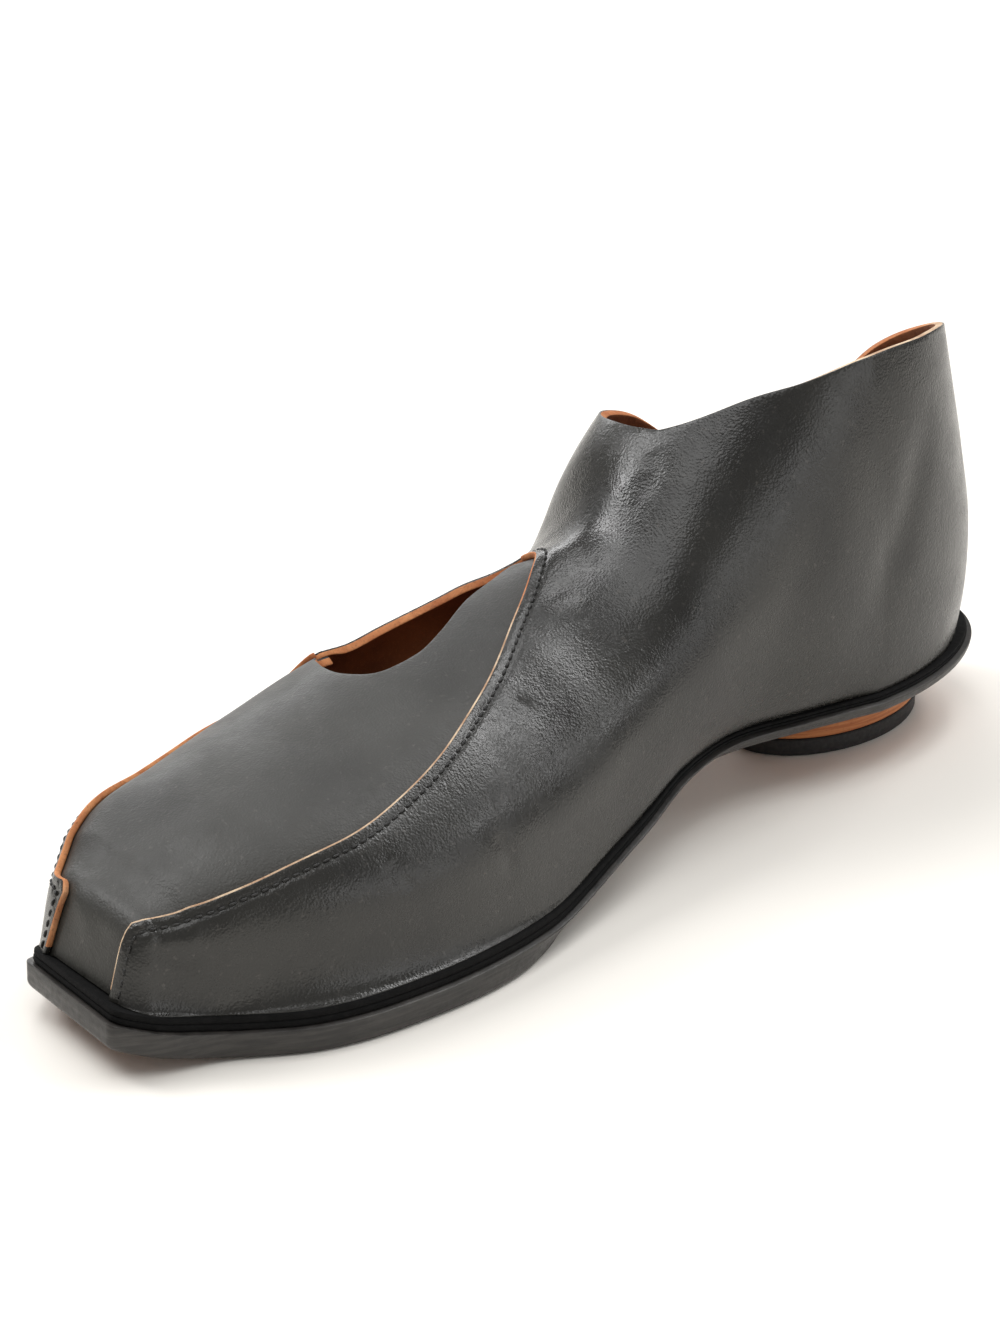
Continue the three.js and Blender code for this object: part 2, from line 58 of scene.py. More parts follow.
# Sizes of the pieces
WALL = 2.2
LAP_WALL = 1.55  # leather of the quarters where they lie on the plug
SEAM_STEP = 1.6  # the plug lies this much deeper than the quarters
SEAM_LAP = 6.0
OUTSOLE_FRONT = 6.2
OUTSOLE_BACK = 2.7
WELT_FRONT = 3.0
WELT_BACK = 1.3
WELT_INSET = 0.8
UPPER_INSET = 2.4
INSOLE = 2.5
TOE_SKEW = 2.7  # the lateral toe corner lies this much further back
UPPER_SKEW = 0.25  # the upper's share of TOE_SKEW
TOE_LEAN = 11.3  # the toe would lean back this much at INSTEP_HEIGHT
TOE_FILLET = 5.2  # rounding of the upper's front edges
TOE_FACE = 12.0  # the toe's front face is divided as if it were this long
HEEL_TURN = 66.0  # way round half the heel
SECTION_RUN = 125.0  # way from the lower edge to the ridge, for the division of a section
EASE_REACH = 7.0  # reach of the softening where the instep steps up to the strap
RIDGE_EASE = 0.22  # share of that softening on the ridge
TOP_PIECE = 4.5
HEEL_LONG = 56.0
HEEL_WIDE = 36.0
HEEL_FLARE = 1.5
GAP = 0.3

# Places along the shoe, as shares of its length from the toe
UPPER_TOE = 0.0143
UPPER_BACK = 0.979
HEEL_AXIS = 0.804
HEEL_PLACE = 0.846
BACK_LEAN_START = 0.7
TOE_LEAN_END = 0.06  # behind the front of the upper
SKEW_END = 0.1
AHEAD = -0.05  # in front of the toe
RIM_CENTRE = 0.793

# Distance between neighbouring points of the leather sheets
SPACING = 1.05

SOLE_PLAN = ("at medial lateral bevel", [
    (0, 0.296, 0.045, 0),
    (0.03, 0.341, 0.097, 0),
    (0.08, 0.384, 0.194, 0),
    (0.15, 0.485, 0.316, 0),
    (0.25, 0.527, 0.434, 0),
    (0.34, 0.51, 0.474, 0.1),
    (0.45, 0.43, 0.459, 2.5),
    (0.52, 0.372, 0.418, 3.2),
    (0.58, 0.31, 0.383, 2.2),
    (0.65, 0.26, 0.347, 0.5),
    (0.73, 0.286, 0.327, 0.2),
    (0.804, 0.322, 0.32, 0.1),
])
SOLE_PROFILE = ("at heel toe back", [
    (0, 0, 1, 0),
    (0.045, 0, 0.42, 0),
    (0.1, 0, 0.04, 0),
    (0.14, 0, 0, 0),
    (0.38, 0, 0, 0),
    (0.5, 0.57, 0, 0.58),
    (0.6, 0.96, 0, 0.8),
    (0.68, 1, 0, 0.9),
    (1, 1, 0, 1),
])
UPPER_SECTIONS = ("at margin medial lateral rise ridge instep ankle full_medial full_lateral", [
    (0.0143, 1, 0.29, 0.035, 0.14, 0.118, 0.4, 0, 4.5, 3.6),
    (0.043, 1, 0.306, 0.106, 0.18, 0.107, 0.5, 0, 3.2, 3.3),
    (0.1, 1, 0.364, 0.215, 0.27, 0.086, 0.717, 0, 2.7, 3),
    (0.171, 1, 0.431, 0.282, 0.32, 0.063, 0.842, 0, 2.4, 2.35),
    (0.264, 1, 0.469, 0.37, 0.34, 0.027, 0.926, 0, 2.1, 2.1),
    (0.357, 1, 0.454, 0.398, 0.36, -0.014, 1.046, 0, 2, 2.15),
    (0.446, 1, 0.406, 0.383, 0.41, -0.035, 1.074, 0, 1.9, 2.2),
    (0.507, 1, 0.368, 0.347, 0.45, -0.035, 1.06, 0, 1.9, 2.1),
    (0.543, 1, 0.35, 0.332, 0.5, -0.015, 1.02, 0.049, 1.9, 1.47),
    (0.565, 1, 0.34, 0.328, 0.527, -0.011, 0.826, 0.162, 1.9, 1.38),
    (0.586, 1, 0.331, 0.327, 0.55, -0.014, 0.6, 0.37, 1.9, 1.35),
    (0.62, 1, 0.316, 0.335, 0.574, -0.02, 0.286, 0.663, 1.93, 2.19),
    (0.661, 1, 0.304, 0.347, 0.59, -0.023, 0, 0.942, 2, 2.67),
    (0.75, 1, 0.312, 0.34, 0.59, -0.015, 0, 1.25, 2.2, 2.3),
    (0.804, 1, 0.3, 0.33, 0.59, 0, 0, 1.38, 2.3, 2.3),
])
BACK_CURVE = ("up out", [
    (0, 0.004), (0.15, 0.028), (0.35, 0.024), (0.62, -0.033), (0.9, -0.096), (1.19, -0.142), (1.5, -0.15),
])
RIM = ("turn height", [
    (0, 0.872), (23, 0.966), (46, 1.008), (92, 1.051), (130, 1.043), (157, 1.012), (180, 0.936),
    (198, 0.832), (222, 0.58), (250, 0.56), (280, 0.58), (310, 0.75), (335, 0.828), (360, 0.872),
])

# Lines in plan: (share of LENGTH, share of BALL_WIDTH), medial side positive
SEAM_MEDIAL = [
    (0.014, 0.24), (0.034, 0.244), (0.041, 0.258), (0.056, 0.271), (0.095, 0.319), (0.145, 0.352),
    (0.206, 0.367), (0.263, 0.341), (0.329, 0.285), (0.402, 0.178), (0.461, 0.069), (0.507, -0.025),
    (0.535, -0.095), (0.546, -0.19),
]
SEAM_LATERAL = [
    (0.362, -0.325), (0.345, -0.365), (0.293, -0.362), (0.232, -0.316), (0.171, -0.252),
    (0.114, -0.199), (0.095, -0.173), (0.076, -0.14), (0.056, -0.099), (0.045, -0.072),
    (0.038, -0.035), (0.033, 0.012), (0.014, -0.01),
]
HOLE_MIDDLE = [(0.54, -0.215), (0.45, -0.22), (0.375, -0.27)]
HOLE_PLUG_SIDE = [
    (0.552, -0.18), (0.505, -0.136), (0.462, -0.102), (0.418, -0.046), (0.38, -0.008),
    (0.343, -0.012), (0.326, -0.08), (0.328, -0.16), (0.343, -0.25),
]
HOLE_STRAP_SIDE = [
    (0.368, -0.33), (0.41, -0.35), (0.455, -0.347), (0.5, -0.317), (0.53, -0.27), (0.55, -0.215),
]


def smooth(x, v, place, level=False):
    """Value at place on a smooth line through the points; level keeps it from overshooting."""
    x, v = np.asarray(x, float), np.asarray(v, float)
    span = np.diff(x)
    grade = np.diff(v) / span
    slope = np.concatenate([grade[:1], grade[:1].repeat(len(x) - 2), grade[-1:]])
    before, after, left, right = span[:-1], span[1:], grade[:-1], grade[1:]
    if level:
        near, far = 2 * after + before, after + 2 * before
        same = left * right > 0
        safe = np.where(same, left, 1), np.where(same, right, 1)
        slope[1:-1] = np.where(same, (near + far) / (near / safe[0] + far / safe[1]), 0)
    else:
        slope[1:-1] = (after * left + before * right) / (before + after)
    place = np.clip(np.asarray(place, float), x[0], x[-1])
    k = np.clip(np.searchsorted(x, place, side="right") - 1, 0, len(x) - 2)
    u = (place - x[k]) / span[k]
    return ((1 + 2 * u) * (1 - u) ** 2 * v[k] + u * (1 - u) ** 2 * span[k] * slope[k]
            + u * u * (3 - 2 * u) * v[k + 1] + u * u * (u - 1) * span[k] * slope[k + 1])


class Table:
    """Named columns over the first one."""

    def __init__(self, source, level=False):
        self.names = source[0].split()
        self.rows = np.array(source[1], float)
        self.level = level

    def __call__(self, name, place):
        return smooth(self.rows[:, 0], self.rows[:, self.names.index(name)], place, self.level)


plan, profile = Table(SOLE_PLAN), Table(SOLE_PROFILE, level=True)
section, back_curve, rim = Table(UPPER_SECTIONS), Table(BACK_CURVE), Table(RIM)


def along(at):
    return (np.asarray(at, float) - 0.5) * LENGTH


def share(y):
    return np.asarray(y, float) / LENGTH + 0.5


TOE_Y, HEEL_AXIS_Y, HEEL_Y = along(0), along(HEEL_AXIS), along(HEEL_PLACE)
UPPER_TOE_Y, UPPER_BACK_Y = along(UPPER_TOE), along(UPPER_BACK)


def sole_under(at):
    return HEEL_HEIGHT * profile("heel", at) + TOE_SPRING * profile("toe", at)


def sole_top(at):
    return sole_under(at) + OUTSOLE_FRONT + (OUTSOLE_BACK - OUTSOLE_FRONT) * profile("back", at)


def welt_top(at):
    return sole_top(at) + GAP + WELT_FRONT + (WELT_BACK - WELT_FRONT) * profile("back", at)


def lower_edge(at):
    return welt_top(at) + GAP


def outline(y, inset):
    """Half widths of the outsole at y, set in by a distance: medial, lateral."""
    at = share(y)
    return plan("medial", at) * BALL_WIDTH - inset, -plan("lateral", at) * BALL_WIDTH + inset


def skew(x, y):
    """How far the toe edge runs back towards its lateral corner."""
    medial, lateral = outline(TOE_Y, 0)
    across = np.clip((medial - x) / (medial - lateral), 0, 1)
    return TOE_SKEW * across * np.maximum(0, 1 - (y - TOE_Y) / (SKEW_END * LENGTH))


def toe_lean(y, up):
    """How far the front of the toe leans back, by height."""
    fade = np.maximum(0, 1 - (y - UPPER_TOE_Y) / (TOE_LEAN_END * LENGTH))
    return TOE_LEAN * up / INSTEP_HEIGHT * fade


def smoothstep(low, high, value):
    t = np.clip((value - low) / (high - low), 0, 1)
    return t * t * (3 - 2 * t)


def stations(front, back, spacing):
    """Places of the sections from front to back and how far each is narrowed round the heel."""
    straight = np.linspace(front, HEEL_AXIS_Y, int((HEEL_AXIS_Y - TOE_Y) / spacing) + 1)
    turn = np.linspace(0, math.pi / 2, int(HEEL_TURN / spacing) + 1)[1:]
    y = np.concatenate([straight, HEEL_AXIS_Y + (back - HEEL_AXIS_Y) * np.sin(turn)])
    narrow = np.concatenate([np.ones(len(straight)), np.cos(turn)])
    narrow[-1] = 0
    return y, narrow


def even_rows(points, count):
    """Each row of points, laid out again at even distances along its own line."""
    out = np.empty((len(points), count, 3))
    for i, row in enumerate(points):
        run = np.concatenate([[0], np.cumsum(np.linalg.norm(np.diff(row, axis=0), axis=1))])
        want = np.linspace(0, run[-1], count)
        for k in range(3):
            out[i, :, k] = np.interp(want, run, row[:, k])
    return out


FINE_STEPS = 160


def last_grid():
    """Outside of the upper as rows of points, each from the medial lower edge over the ridge."""
    psi = np.linspace(0, math.pi / 2, 6)[:-1]
    flat = np.linspace(0, 1, int(TOE_FACE / SPACING) + 1)[:-1]
    y, narrow = stations(UPPER_TOE_Y + TOE_FILLET, UPPER_BACK_Y, SPACING)
    lead = len(flat) + len(psi)
    fillet = TOE_FILLET * (1 - np.sin(psi))
    inset = np.concatenate([np.full(len(flat), TOE_FILLET), fillet, np.zeros(len(y))])
    shrink = np.concatenate([flat, np.ones(len(psi) + len(y))])
    front = UPPER_TOE_Y + np.concatenate([np.zeros(len(flat)), TOE_FILLET * (1 - np.cos(psi))])
    y = np.concatenate([front, y])
    narrow = np.concatenate([np.ones(lead), narrow])
    at = share(y)
    rise = section("rise", at) * INSTEP_HEIGHT
    high = section("instep", at) * INSTEP_HEIGHT + section("ankle", at) * COLLAR_HEIGHT - inset
    ridge = section("ridge", at) * BALL_WIDTH
    foot = outline(y, section("margin", at) * UPPER_INSET + inset)
    bulge = (section("medial", at) * BALL_WIDTH - inset, -section("lateral", at) * BALL_WIDTH + inset)
    full = (section("full_medial", at), section("full_lateral", at))
    theta = np.linspace(0, math.pi / 2, FINE_STEPS)[None]
    cosine = np.clip(np.cos(theta), 0, 1)
    halves = []
    for k in range(2):
        f, b, n = foot[k][:, None], bulge[k][:, None], full[k][:, None]
        low_x = f + (b - f) * np.sin(theta)
        low_z = rise[:, None] * (1 - cosine)
        top_x = ridge[:, None] + (b - ridge[:, None]) * cosine ** (2 / n)
        top_z = rise[:, None] + (high - rise)[:, None] * np.sin(theta) ** (2 / n)
        x = np.concatenate([low_x, top_x[:, 1:]], 1)
        up = np.concatenate([low_z, top_z[:, 1:]], 1)
        middle = ((foot[0] + foot[1]) / 2)[:, None]
        x = (middle + (x - middle) * shrink[:, None]) * narrow[:, None]
        up = up * shrink[:, None]
        blend = smoothstep(along(BACK_LEAN_START), UPPER_BACK_Y, y)[:, None]
        lean = blend * back_curve("out", up / COLLAR_HEIGHT) * COLLAR_HEIGHT
        turned = skew(x, y[:, None])
        yy = y[:, None] + lean + UPPER_SKEW * turned + toe_lean(y[:, None], up)
        foot_z = lower_edge(share(y[:, None] - (1 - UPPER_SKEW) * turned))
        points = np.stack([x, yy, foot_z + up], 2)
        halves.append(even_rows(points, int(SECTION_RUN / SPACING)))
    return ease_step(np.concatenate([halves[0], halves[1][:, ::-1][:, 1:]], 1), at)


def ease_step(grid, at):
    """The step from the instep to the strap, drawn out on the medial side and a little on the ridge."""
    side = np.linspace(-1, 1, grid.shape[1])
    medial = RIDGE_EASE + (1 - RIDGE_EASE) * smoothstep(0, 0.2, -side)
    lateral = RIDGE_EASE * (1 - smoothstep(0, 0.25, side))
    over = np.where(side < 0, medial, lateral) * (1 - smoothstep(0.65, 0.9, -side))
    here = smoothstep(0.46, 0.54, at) * (1 - smoothstep(0.64, 0.74, at))
    weight = 0.5 * (here[:, None] * over[None])[1:-1, 1:-1, None]
    for _ in range(int(4 * (EASE_REACH / SPACING) ** 2)):
        middle = (grid[:-2, 1:-1] + grid[2:, 1:-1] + grid[1:-1, :-2] + grid[1:-1, 2:]) / 4
        grid[1:-1, 1:-1] += weight * (middle - grid[1:-1, 1:-1])
    return grid


def weld_grid(grid):
    """Points and triangles of the last; the toe's middle and the heel's two sides are joined."""
    rows, columns = grid.shape[:2]
    index = np.arange(rows * columns).reshape(rows, columns)
    index[0] = 0
    index[-1, columns // 2 + 1:] = index[-1, :columns // 2][::-1]
    a, b = index[:-1, :-1].ravel(), index[:-1, 1:].ravel()
    c, d = index[1:, 1:].ravel(), index[1:, :-1].ravel()
    faces = np.concatenate([np.stack([a, c, b], 1), np.stack([a, d, c], 1)])
    good = (faces[:, 0] != faces[:, 1]) & (faces[:, 1] != faces[:, 2]) & (faces[:, 2] != faces[:, 0])
    return grid.reshape(-1, 3).copy(), faces[good]


def point_normals(points, faces):
    p = points[faces]
    flat = np.cross(p[:, 1] - p[:, 0], p[:, 2] - p[:, 0])
    out = np.zeros_like(points)
    for k in range(3):
        np.add.at(out, faces[:, k], flat)
    return out / np.maximum(np.linalg.norm(out, axis=1), 1e-12)[:, None]


def spline(rows, steps=12):
    """Smooth plan line through rows of shares, in millimetres (x, y)."""
    p = np.array([(across * BALL_WIDTH, along(at)) for at, across in rows])
    p = np.concatenate([p[:1], p, p[-1:]])
    out = []
    for i in range(1, len(p) - 2):
        for t in np.linspace(0, 1, steps, endpoint=False):
            pull_a, pull_b = (p[i + 1] - p[i - 1]) / 2, (p[i + 2] - p[i]) / 2
            out.append((2 * t ** 3 - 3 * t * t + 1) * p[i] + (t ** 3 - 2 * t * t + t) * pull_a
                       + (3 * t * t - 2 * t ** 3) * p[i + 1] + (t ** 3 - t * t) * pull_b)
    out.append(p[-2])
    return np.array(out)


def plan_field(points, loop):
    """Signed plan distance to a closed loop, negative inside it."""
    a, b = loop, np.roll(loop, -1, axis=0)
    xy = points[:, :2]
    best = np.full(len(xy), 1e9)
    inside = np.zeros(len(xy), bool)
    for p, q in zip(a, b):
        step = q - p
        t = np.clip(((xy - p) @ step) / max(step @ step, 1e-12), 0, 1)
        best = np.minimum(best, np.linalg.norm(xy - p - t[:, None] * step, axis=1))
        if p[1] != q[1]:
            crosses = (p[1] > xy[:, 1]) != (q[1] > xy[:, 1])
            inside ^= crosses & (xy[:, 0] < (q[0] - p[0]) * (xy[:, 1] - p[1]) / (q[1] - p[1]) + p[0])
    return np.where(inside, -best, best)


PLUG_FRONT = (-0.015, 0.258)  # across, where the plug runs out in front of the toe
PLUG_LOOP = np.concatenate([
    spline(SEAM_MEDIAL), spline(HOLE_MIDDLE), spline(SEAM_LATERAL),
    [(PLUG_FRONT[0] * BALL_WIDTH, along(AHEAD)), (PLUG_FRONT[1] * BALL_WIDTH, along(AHEAD))],
])
HOLE_LOOP = np.concatenate([spline(HOLE_PLUG_SIDE), spline(HOLE_STRAP_SIDE)])


def rim_field(points):
    """Height over the collar's rim, negative below it."""
    turn = np.degrees(np.arctan2(points[:, 0], along(RIM_CENTRE) - points[:, 1])) % 360
    return points[:, 2] - lower_edge(1) - rim("height", turn) * COLLAR_HEIGHT


NEAR_CUT = 0.3
LONGEST_MOVE = 0.45


def edges_of(faces):
    return np.concatenate([faces[:, [0, 1]], faces[:, [1, 2]], faces[:, [2, 0]]])


def clip(points, faces, values, extra):
    """Keeps the part of a mesh where values are negative. Points close to the cut are moved onto it."""
    points, values, extra = points.copy(), values.copy(), [e.copy() for e in extra]
    edges = np.unique(np.sort(edges_of(faces), 1), axis=0)
    a, b = edges[:, 0], edges[:, 1]
    mixed = (values[a] < 0) != (values[b] < 0)
    a, b = a[mixed], b[mixed]
    t = values[a] / (values[a] - values[b])
    near = np.minimum(t, 1 - t)
    for k in np.argsort(-near):
        if near[k] > NEAR_CUT:
            continue
        keep, other = (a[k], b[k]) if t[k] < 0.5 else (b[k], a[k])
        if values[keep] == 0:
            continue
        part = values[keep] / (values[keep] - values[other])
        if 0 <= part <= LONGEST_MOVE:
            points[keep] += part * (points[other] - points[keep])
            for e in extra:
                e[keep] += part * (e[other] - e[keep])
            values[keep] = 0
    inside = values <= 0
    count = inside[faces].sum(1)
    touching = (values[faces] < 0).any(1)
    kept = [faces[(count == 3) & touching]]
    made, new_points, new_extra = {}, [], [[] for _ in extra]

    def cut(i, j):
        key = (i, j) if i < j else (j, i)
        if key not in made:
            part = values[i] / (values[i] - values[j])
            made[key] = len(points) + len(new_points)
            new_points.append(points[i] + part * (points[j] - points[i]))
            for e, store in zip(extra, new_extra):
                store.append(e[i] + part * (e[j] - e[i]))
        return made[key]

    split = []
    for tri in faces[(count > 0) & (count < 3) & touching]:
        flags = inside[tri]
        if values[tri][flags].min() >= 0:
            continue
        start = int(np.argmax(flags if flags.sum() == 1 else ~flags))
        p, q, r = (int(tri[(start + k) % 3]) for k in range(3))
        if flags.sum() == 1:
            split.append((p, cut(p, q), cut(p, r)))
        else:
            corner_q = q if values[q] == 0 else cut(q, p)
            corner_r = r if values[r] == 0 else cut(r, p)
            if corner_q != q:
                split.append((corner_q, q, r))
            if corner_r != r:
                split.append((corner_q, r, corner_r))
    faces = np.concatenate(kept + ([np.array(split)] if split else []))
    if new_points:
        points = np.concatenate([points, new_points])
        extra = [np.concatenate([e, s]) for e, s in zip(extra, new_extra)]
    used, faces = np.unique(faces, return_inverse=True)
    return points[used], faces.reshape(-1, 3), [e[used] for e in extra]


def border(faces):
    """Directed edges that have a face on one side only."""
    keys = {(int(a), int(b)) for a, b in edges_of(faces)}
    return [(a, b) for a, b in keys if (b, a) not in keys]


EDGE_BEVEL = 0.55  # how far a raw edge stands out along a seam
LIP_BEVEL = 0.15  # the same elsewhere
SEAM_LIP = 0.14  # depth of the grain side's lip along a seam
LIP = 0.45  # the same elsewhere
DARK_FEATHER = 2.5  # edges lower than this over the welt stay dark


def thicken(points, normals, faces, wall, seam):
    """A sheet with its flesh side and a raw edge. Along a seam the edge is bevelled and shows; elsewhere
    the grain side turns over it as a dark lip. Returns points, faces and the material number of each
    face: 0 grain side, lip and lower edge, 1 flesh side, 2 raw edge."""
    count = len(points)
    rows = [points, points - normals * wall]
    inner = faces[:, ::-1] + count
    edges = border(faces)
    rim_points = sorted({a for a, _ in edges} | {b for _, b in edges})
    slot_of = {p: k for k, p in enumerate(rim_points)}
    outward = np.zeros((len(rim_points), 3))
    for a, b in edges:
        side = np.cross(points[b] - points[a], normals[a] + normals[b])
        outward[slot_of[a]] += side
        outward[slot_of[b]] += side
    outward /= np.maximum(np.linalg.norm(outward, axis=1), 1e-9)[:, None]
    deep = wall[rim_points]
    open_seam = seam[rim_points][:, None]
    bevel = np.where(open_seam, EDGE_BEVEL, LIP_BEVEL)
    lip = np.where(open_seam, SEAM_LIP, LIP)
    rings = [
        (0.25 * bevel, 0.02),
        (0.9 * bevel, lip),
        (bevel, lip + 0.2),
        (bevel, deep - 0.4),
        (0.5 * bevel, deep - 0.08),
    ]
    base = points[rim_points], normals[rim_points]
    for out, down in rings:
        rows.append(base[0] + outward * out - base[1] * down)
    first = 2 * count
    size = len(rim_points)
    levels = [np.array(rim_points)] + [first + k * size + np.arange(size) for k in range(len(rings))]
    levels.append(np.array(rim_points) + count)
    over_feather = points[:, 2] - lower_edge(share(points[:, 1]))
    strip, kinds = [], []
    for a, b in edges:
        i, j = slot_of[a], slot_of[b]
        kind = 0 if max(over_feather[a], over_feather[b]) < DARK_FEATHER else 2
        turned = not (seam[a] and seam[b])
        for k in range(len(levels) - 1):
            p, q, r, s = levels[k][j], levels[k][i], levels[k + 1][i], levels[k + 1][j]
            strip += [(p, q, r), (p, r, s)]
            dark = k == 0 or (k == 1 and turned)
            kinds += [0 if dark else kind] * 2
    strip = np.array(strip)
    all_faces = np.concatenate([faces, inner, strip])
    material = np.concatenate([np.zeros(len(faces)), np.ones(len(inner)), kinds])
    return np.concatenate(rows), all_faces, material.astype(int)


# The unmoved shoe is centred on the floor as the solids are
heel_box, sole_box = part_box("heel_top_piece"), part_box("outsole")
MOVE = np.array([500 * (heel_box[0][0] + heel_box[1][0]), 1000 * sole_box[0][1] - TOE_Y, 0])


def mesh_object(name, points, faces, materials, numbers=None):
    mesh = bpy.data.meshes.new(name)
    mesh.from_pydata(((points + MOVE) / 1000).tolist(), [], [tuple(f) for f in np.asarray(faces).tolist()])
    for material in materials:
        mesh.materials.append(material)
    if numbers is not None:
        mesh.polygons.foreach_set("material_index", np.asarray(numbers, np.int32))
    mesh.polygons.foreach_set("use_smooth", np.ones(len(mesh.polygons), bool))
    mesh.update()
    piece = bpy.data.objects.new(name, mesh)
    bpy.context.scene.collection.objects.link(piece)
    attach(piece, "root")
    return piece


def tidy_object(name, points, faces, materials, numbers=None, crease=35):
    """Mesh with equal corners joined and edges over the crease angle kept sharp."""
    piece = mesh_object(name, points, faces, materials, numbers)
    work = bmesh.new()
    work.from_mesh(piece.data)
    bmesh.ops.remove_doubles(work, verts=work.verts, dist=2e-6)
    bmesh.ops.dissolve_degenerate(work, edges=work.edges, dist=1e-6)
    bmesh.ops.recalc_face_normals(work, faces=work.faces)
    work.to_mesh(piece.data)
    work.free()
    piece.data.set_sharp_from_angle(angle=math.radians(crease))
    return piece


def lines_at_zero(points, faces, values):
    """Lines along which the values on a mesh are zero, each as a row of points."""
    v = values[faces]
    place, links = {}, {}
    for tri in faces[(v.min(1) < 0) & (v.max(1) >= 0)].tolist():
        ends = []
        for p, q in ((tri[0], tri[1]), (tri[1], tri[2]), (tri[2], tri[0])):
            if (values[p] < 0) != (values[q] < 0):
                key = (min(p, q), max(p, q))
                a, b = values[key[0]], values[key[1]]
                place[key] = points[key[0]] + a / (a - b) * (points[key[1]] - points[key[0]])
                ends.append(key)
        links.setdefault(ends[0], []).append(ends[1])
        links.setdefault(ends[1], []).append(ends[0])
    lines, seen = [], set()
    for start in [k for k in links if len(links[k]) == 1] + list(links):
        if start in seen:
            continue
        line = [start]
        seen.add(start)
        while True:
            following = [k for k in links[line[-1]] if k not in seen]
            if not following:
                break
            line.append(following[0])
            seen.add(following[0])
        if len(line) > 2:
            lines.append(np.array([place[k] for k in line]))
    return lines


def walk(line, spacing):
    """The line again, with its points at even distances."""
    run = np.concatenate([[0], np.cumsum(np.linalg.norm(np.diff(line, axis=0), axis=1))])
    want = np.linspace(0, run[-1], max(2, int(run[-1] / spacing) + 1))
    return np.stack([np.interp(want, run, line[:, k]) for k in range(3)], 1)


def tree_of(points):
    tree = KDTree(len(points))
    for i, point in enumerate(points):
        tree.insert(point, i)
    tree.balance()
    return tree


def distance_to(points, line, reach):
    """Distance of each point to a dense line, no more than reach."""
    out = np.full(len(points), float(reach))
    lowest, highest = line.min(0) - reach, line.max(0) + reach
    close = np.nonzero(((points > lowest) & (points < highest)).all(1))[0]
    tree = tree_of(line)
    for i in close:
        out[i] = min(reach, tree.find(points[i])[2])
    return out


def split_outside(line, values):
    """The stretches of a line where values are positive."""
    out, run = [], []
    for point, value in zip(line, values):
        if value > 0:
            run.append(point)
        elif run:
            out.append(np.array(run))
            run = []
    if run:
        out.append(np.array(run))
    return [stretch for stretch in out if len(stretch) > 8]


class Finish:
    """A material and short ways to add nodes to it."""

    def __init__(self, name, **sockets):
        self.material = bpy.data.materials.new(name)
        self.material.use_nodes = True
        self.tree = self.material.node_tree
        self.shader = self.tree.nodes["Principled BSDF"]
        self.place = self.tree.nodes.new("ShaderNodeTexCoord").outputs["Object"]
        for key, value in sockets.items():
            self.shader.inputs[key.replace("_", " ")].default_value = value

    def node(self, kind, inputs=None, **settings):
        made = self.tree.nodes.new("ShaderNode" + kind)
        for key, value in settings.items():
            setattr(made, key, value)
        for key, value in (inputs or {}).items():
            if isinstance(value, bpy.types.NodeSocket):
                self.tree.links.new(value, made.inputs[key])
            else:
                made.inputs[key].default_value = value
        return made

    def noise(self, scale, detail=4, roughness=0.55, vector=None, distortion=0):
        return self.node("TexNoise", {
            "Vector": vector or self.place, "Scale": scale, "Detail": detail,
            "Roughness": roughness, "Distortion": distortion,
        }).outputs["Fac"]

    def cells(self, scale):
        inputs = {"Vector": self.place, "Scale": scale}
        return self.node("TexVoronoi", inputs, feature="SMOOTH_F1").outputs["Distance"]

    def stretched(self, x, y, z):
        return self.node("Mapping", {"Vector": self.place, "Scale": (x, y, z)}).outputs["Vector"]

    def between(self, value, low, high, start=0.0, end=1.0):
        return self.node("MapRange", {
            "Value": value, "From Min": low, "From Max": high, "To Min": start, "To Max": end,
        }, interpolation_type="SMOOTHSTEP").outputs["Result"]

    def math(self, operation, a, b=0.0):
        return self.node("Math", {0: a, 1: b}, operation=operation).outputs[0]

    def colours(self, share, first, second):
        return self.node("Mix", {0: share, 6: first, 7: second}, data_type="RGBA").outputs[2]

    def bump(self, height, distance, strength=1.0, normal=None):
        inputs = {"Height": height, "Distance": distance, "Strength": strength}
        if normal is not None:
            inputs["Normal"] = normal
        return self.node("Bump", inputs).outputs["Normal"]

    def feed(self, **sockets):
        for key, value in sockets.items():
            self.tree.links.new(value, self.shader.inputs[key.replace("_", " ")])
        return self.material


def rgb(red, green, blue):
    """Linear colour from the usual 0 to 255 numbers."""
    shares = [c / 255 for c in (red, green, blue)]
    linear = [((s + 0.055) / 1.055) ** 2.4 if s > 0.04 else s / 12.92 for s in shares]
    return (*linear, 1)


def grain_leather(name, deep, worn, shiny, dull):
    """Black full-grain leather: cells, a mottle that breaks the gloss, wrinkles and grey scuffs."""
    finish = Finish(name, Roughness=0.42)
    cloud = finish.noise(26, 4, 0.6)
    tone = finish.colours(finish.between(cloud, 0.35, 0.68), deep, worn)
    speck = finish.between(finish.noise(700, 3, 0.6), 0.6, 0.74, 0, 0.4)
    tone = finish.colours(speck, tone, rgb(84, 80, 76))
    patch = finish.noise(95, 5, 0.65)
    gloss = finish.between(patch, 0.3, 0.7, shiny, dull)
    wave = finish.math("SUBTRACT", finish.noise(150, 6, 0.62, distortion=0.5), 0.5)
    wrinkle = finish.between(finish.math("ABSOLUTE", wave), 0, 0.05)
    normal = finish.bump(wrinkle, 0.0001, 0.2)
    normal = finish.bump(finish.noise(780, 5, 0.62), 0.0003, 0.17, normal)
    normal = finish.bump(finish.cells(2000), 0.00014, 0.5, normal)
    return finish.feed(Base_Color=tone, Roughness=gloss, Normal=normal)


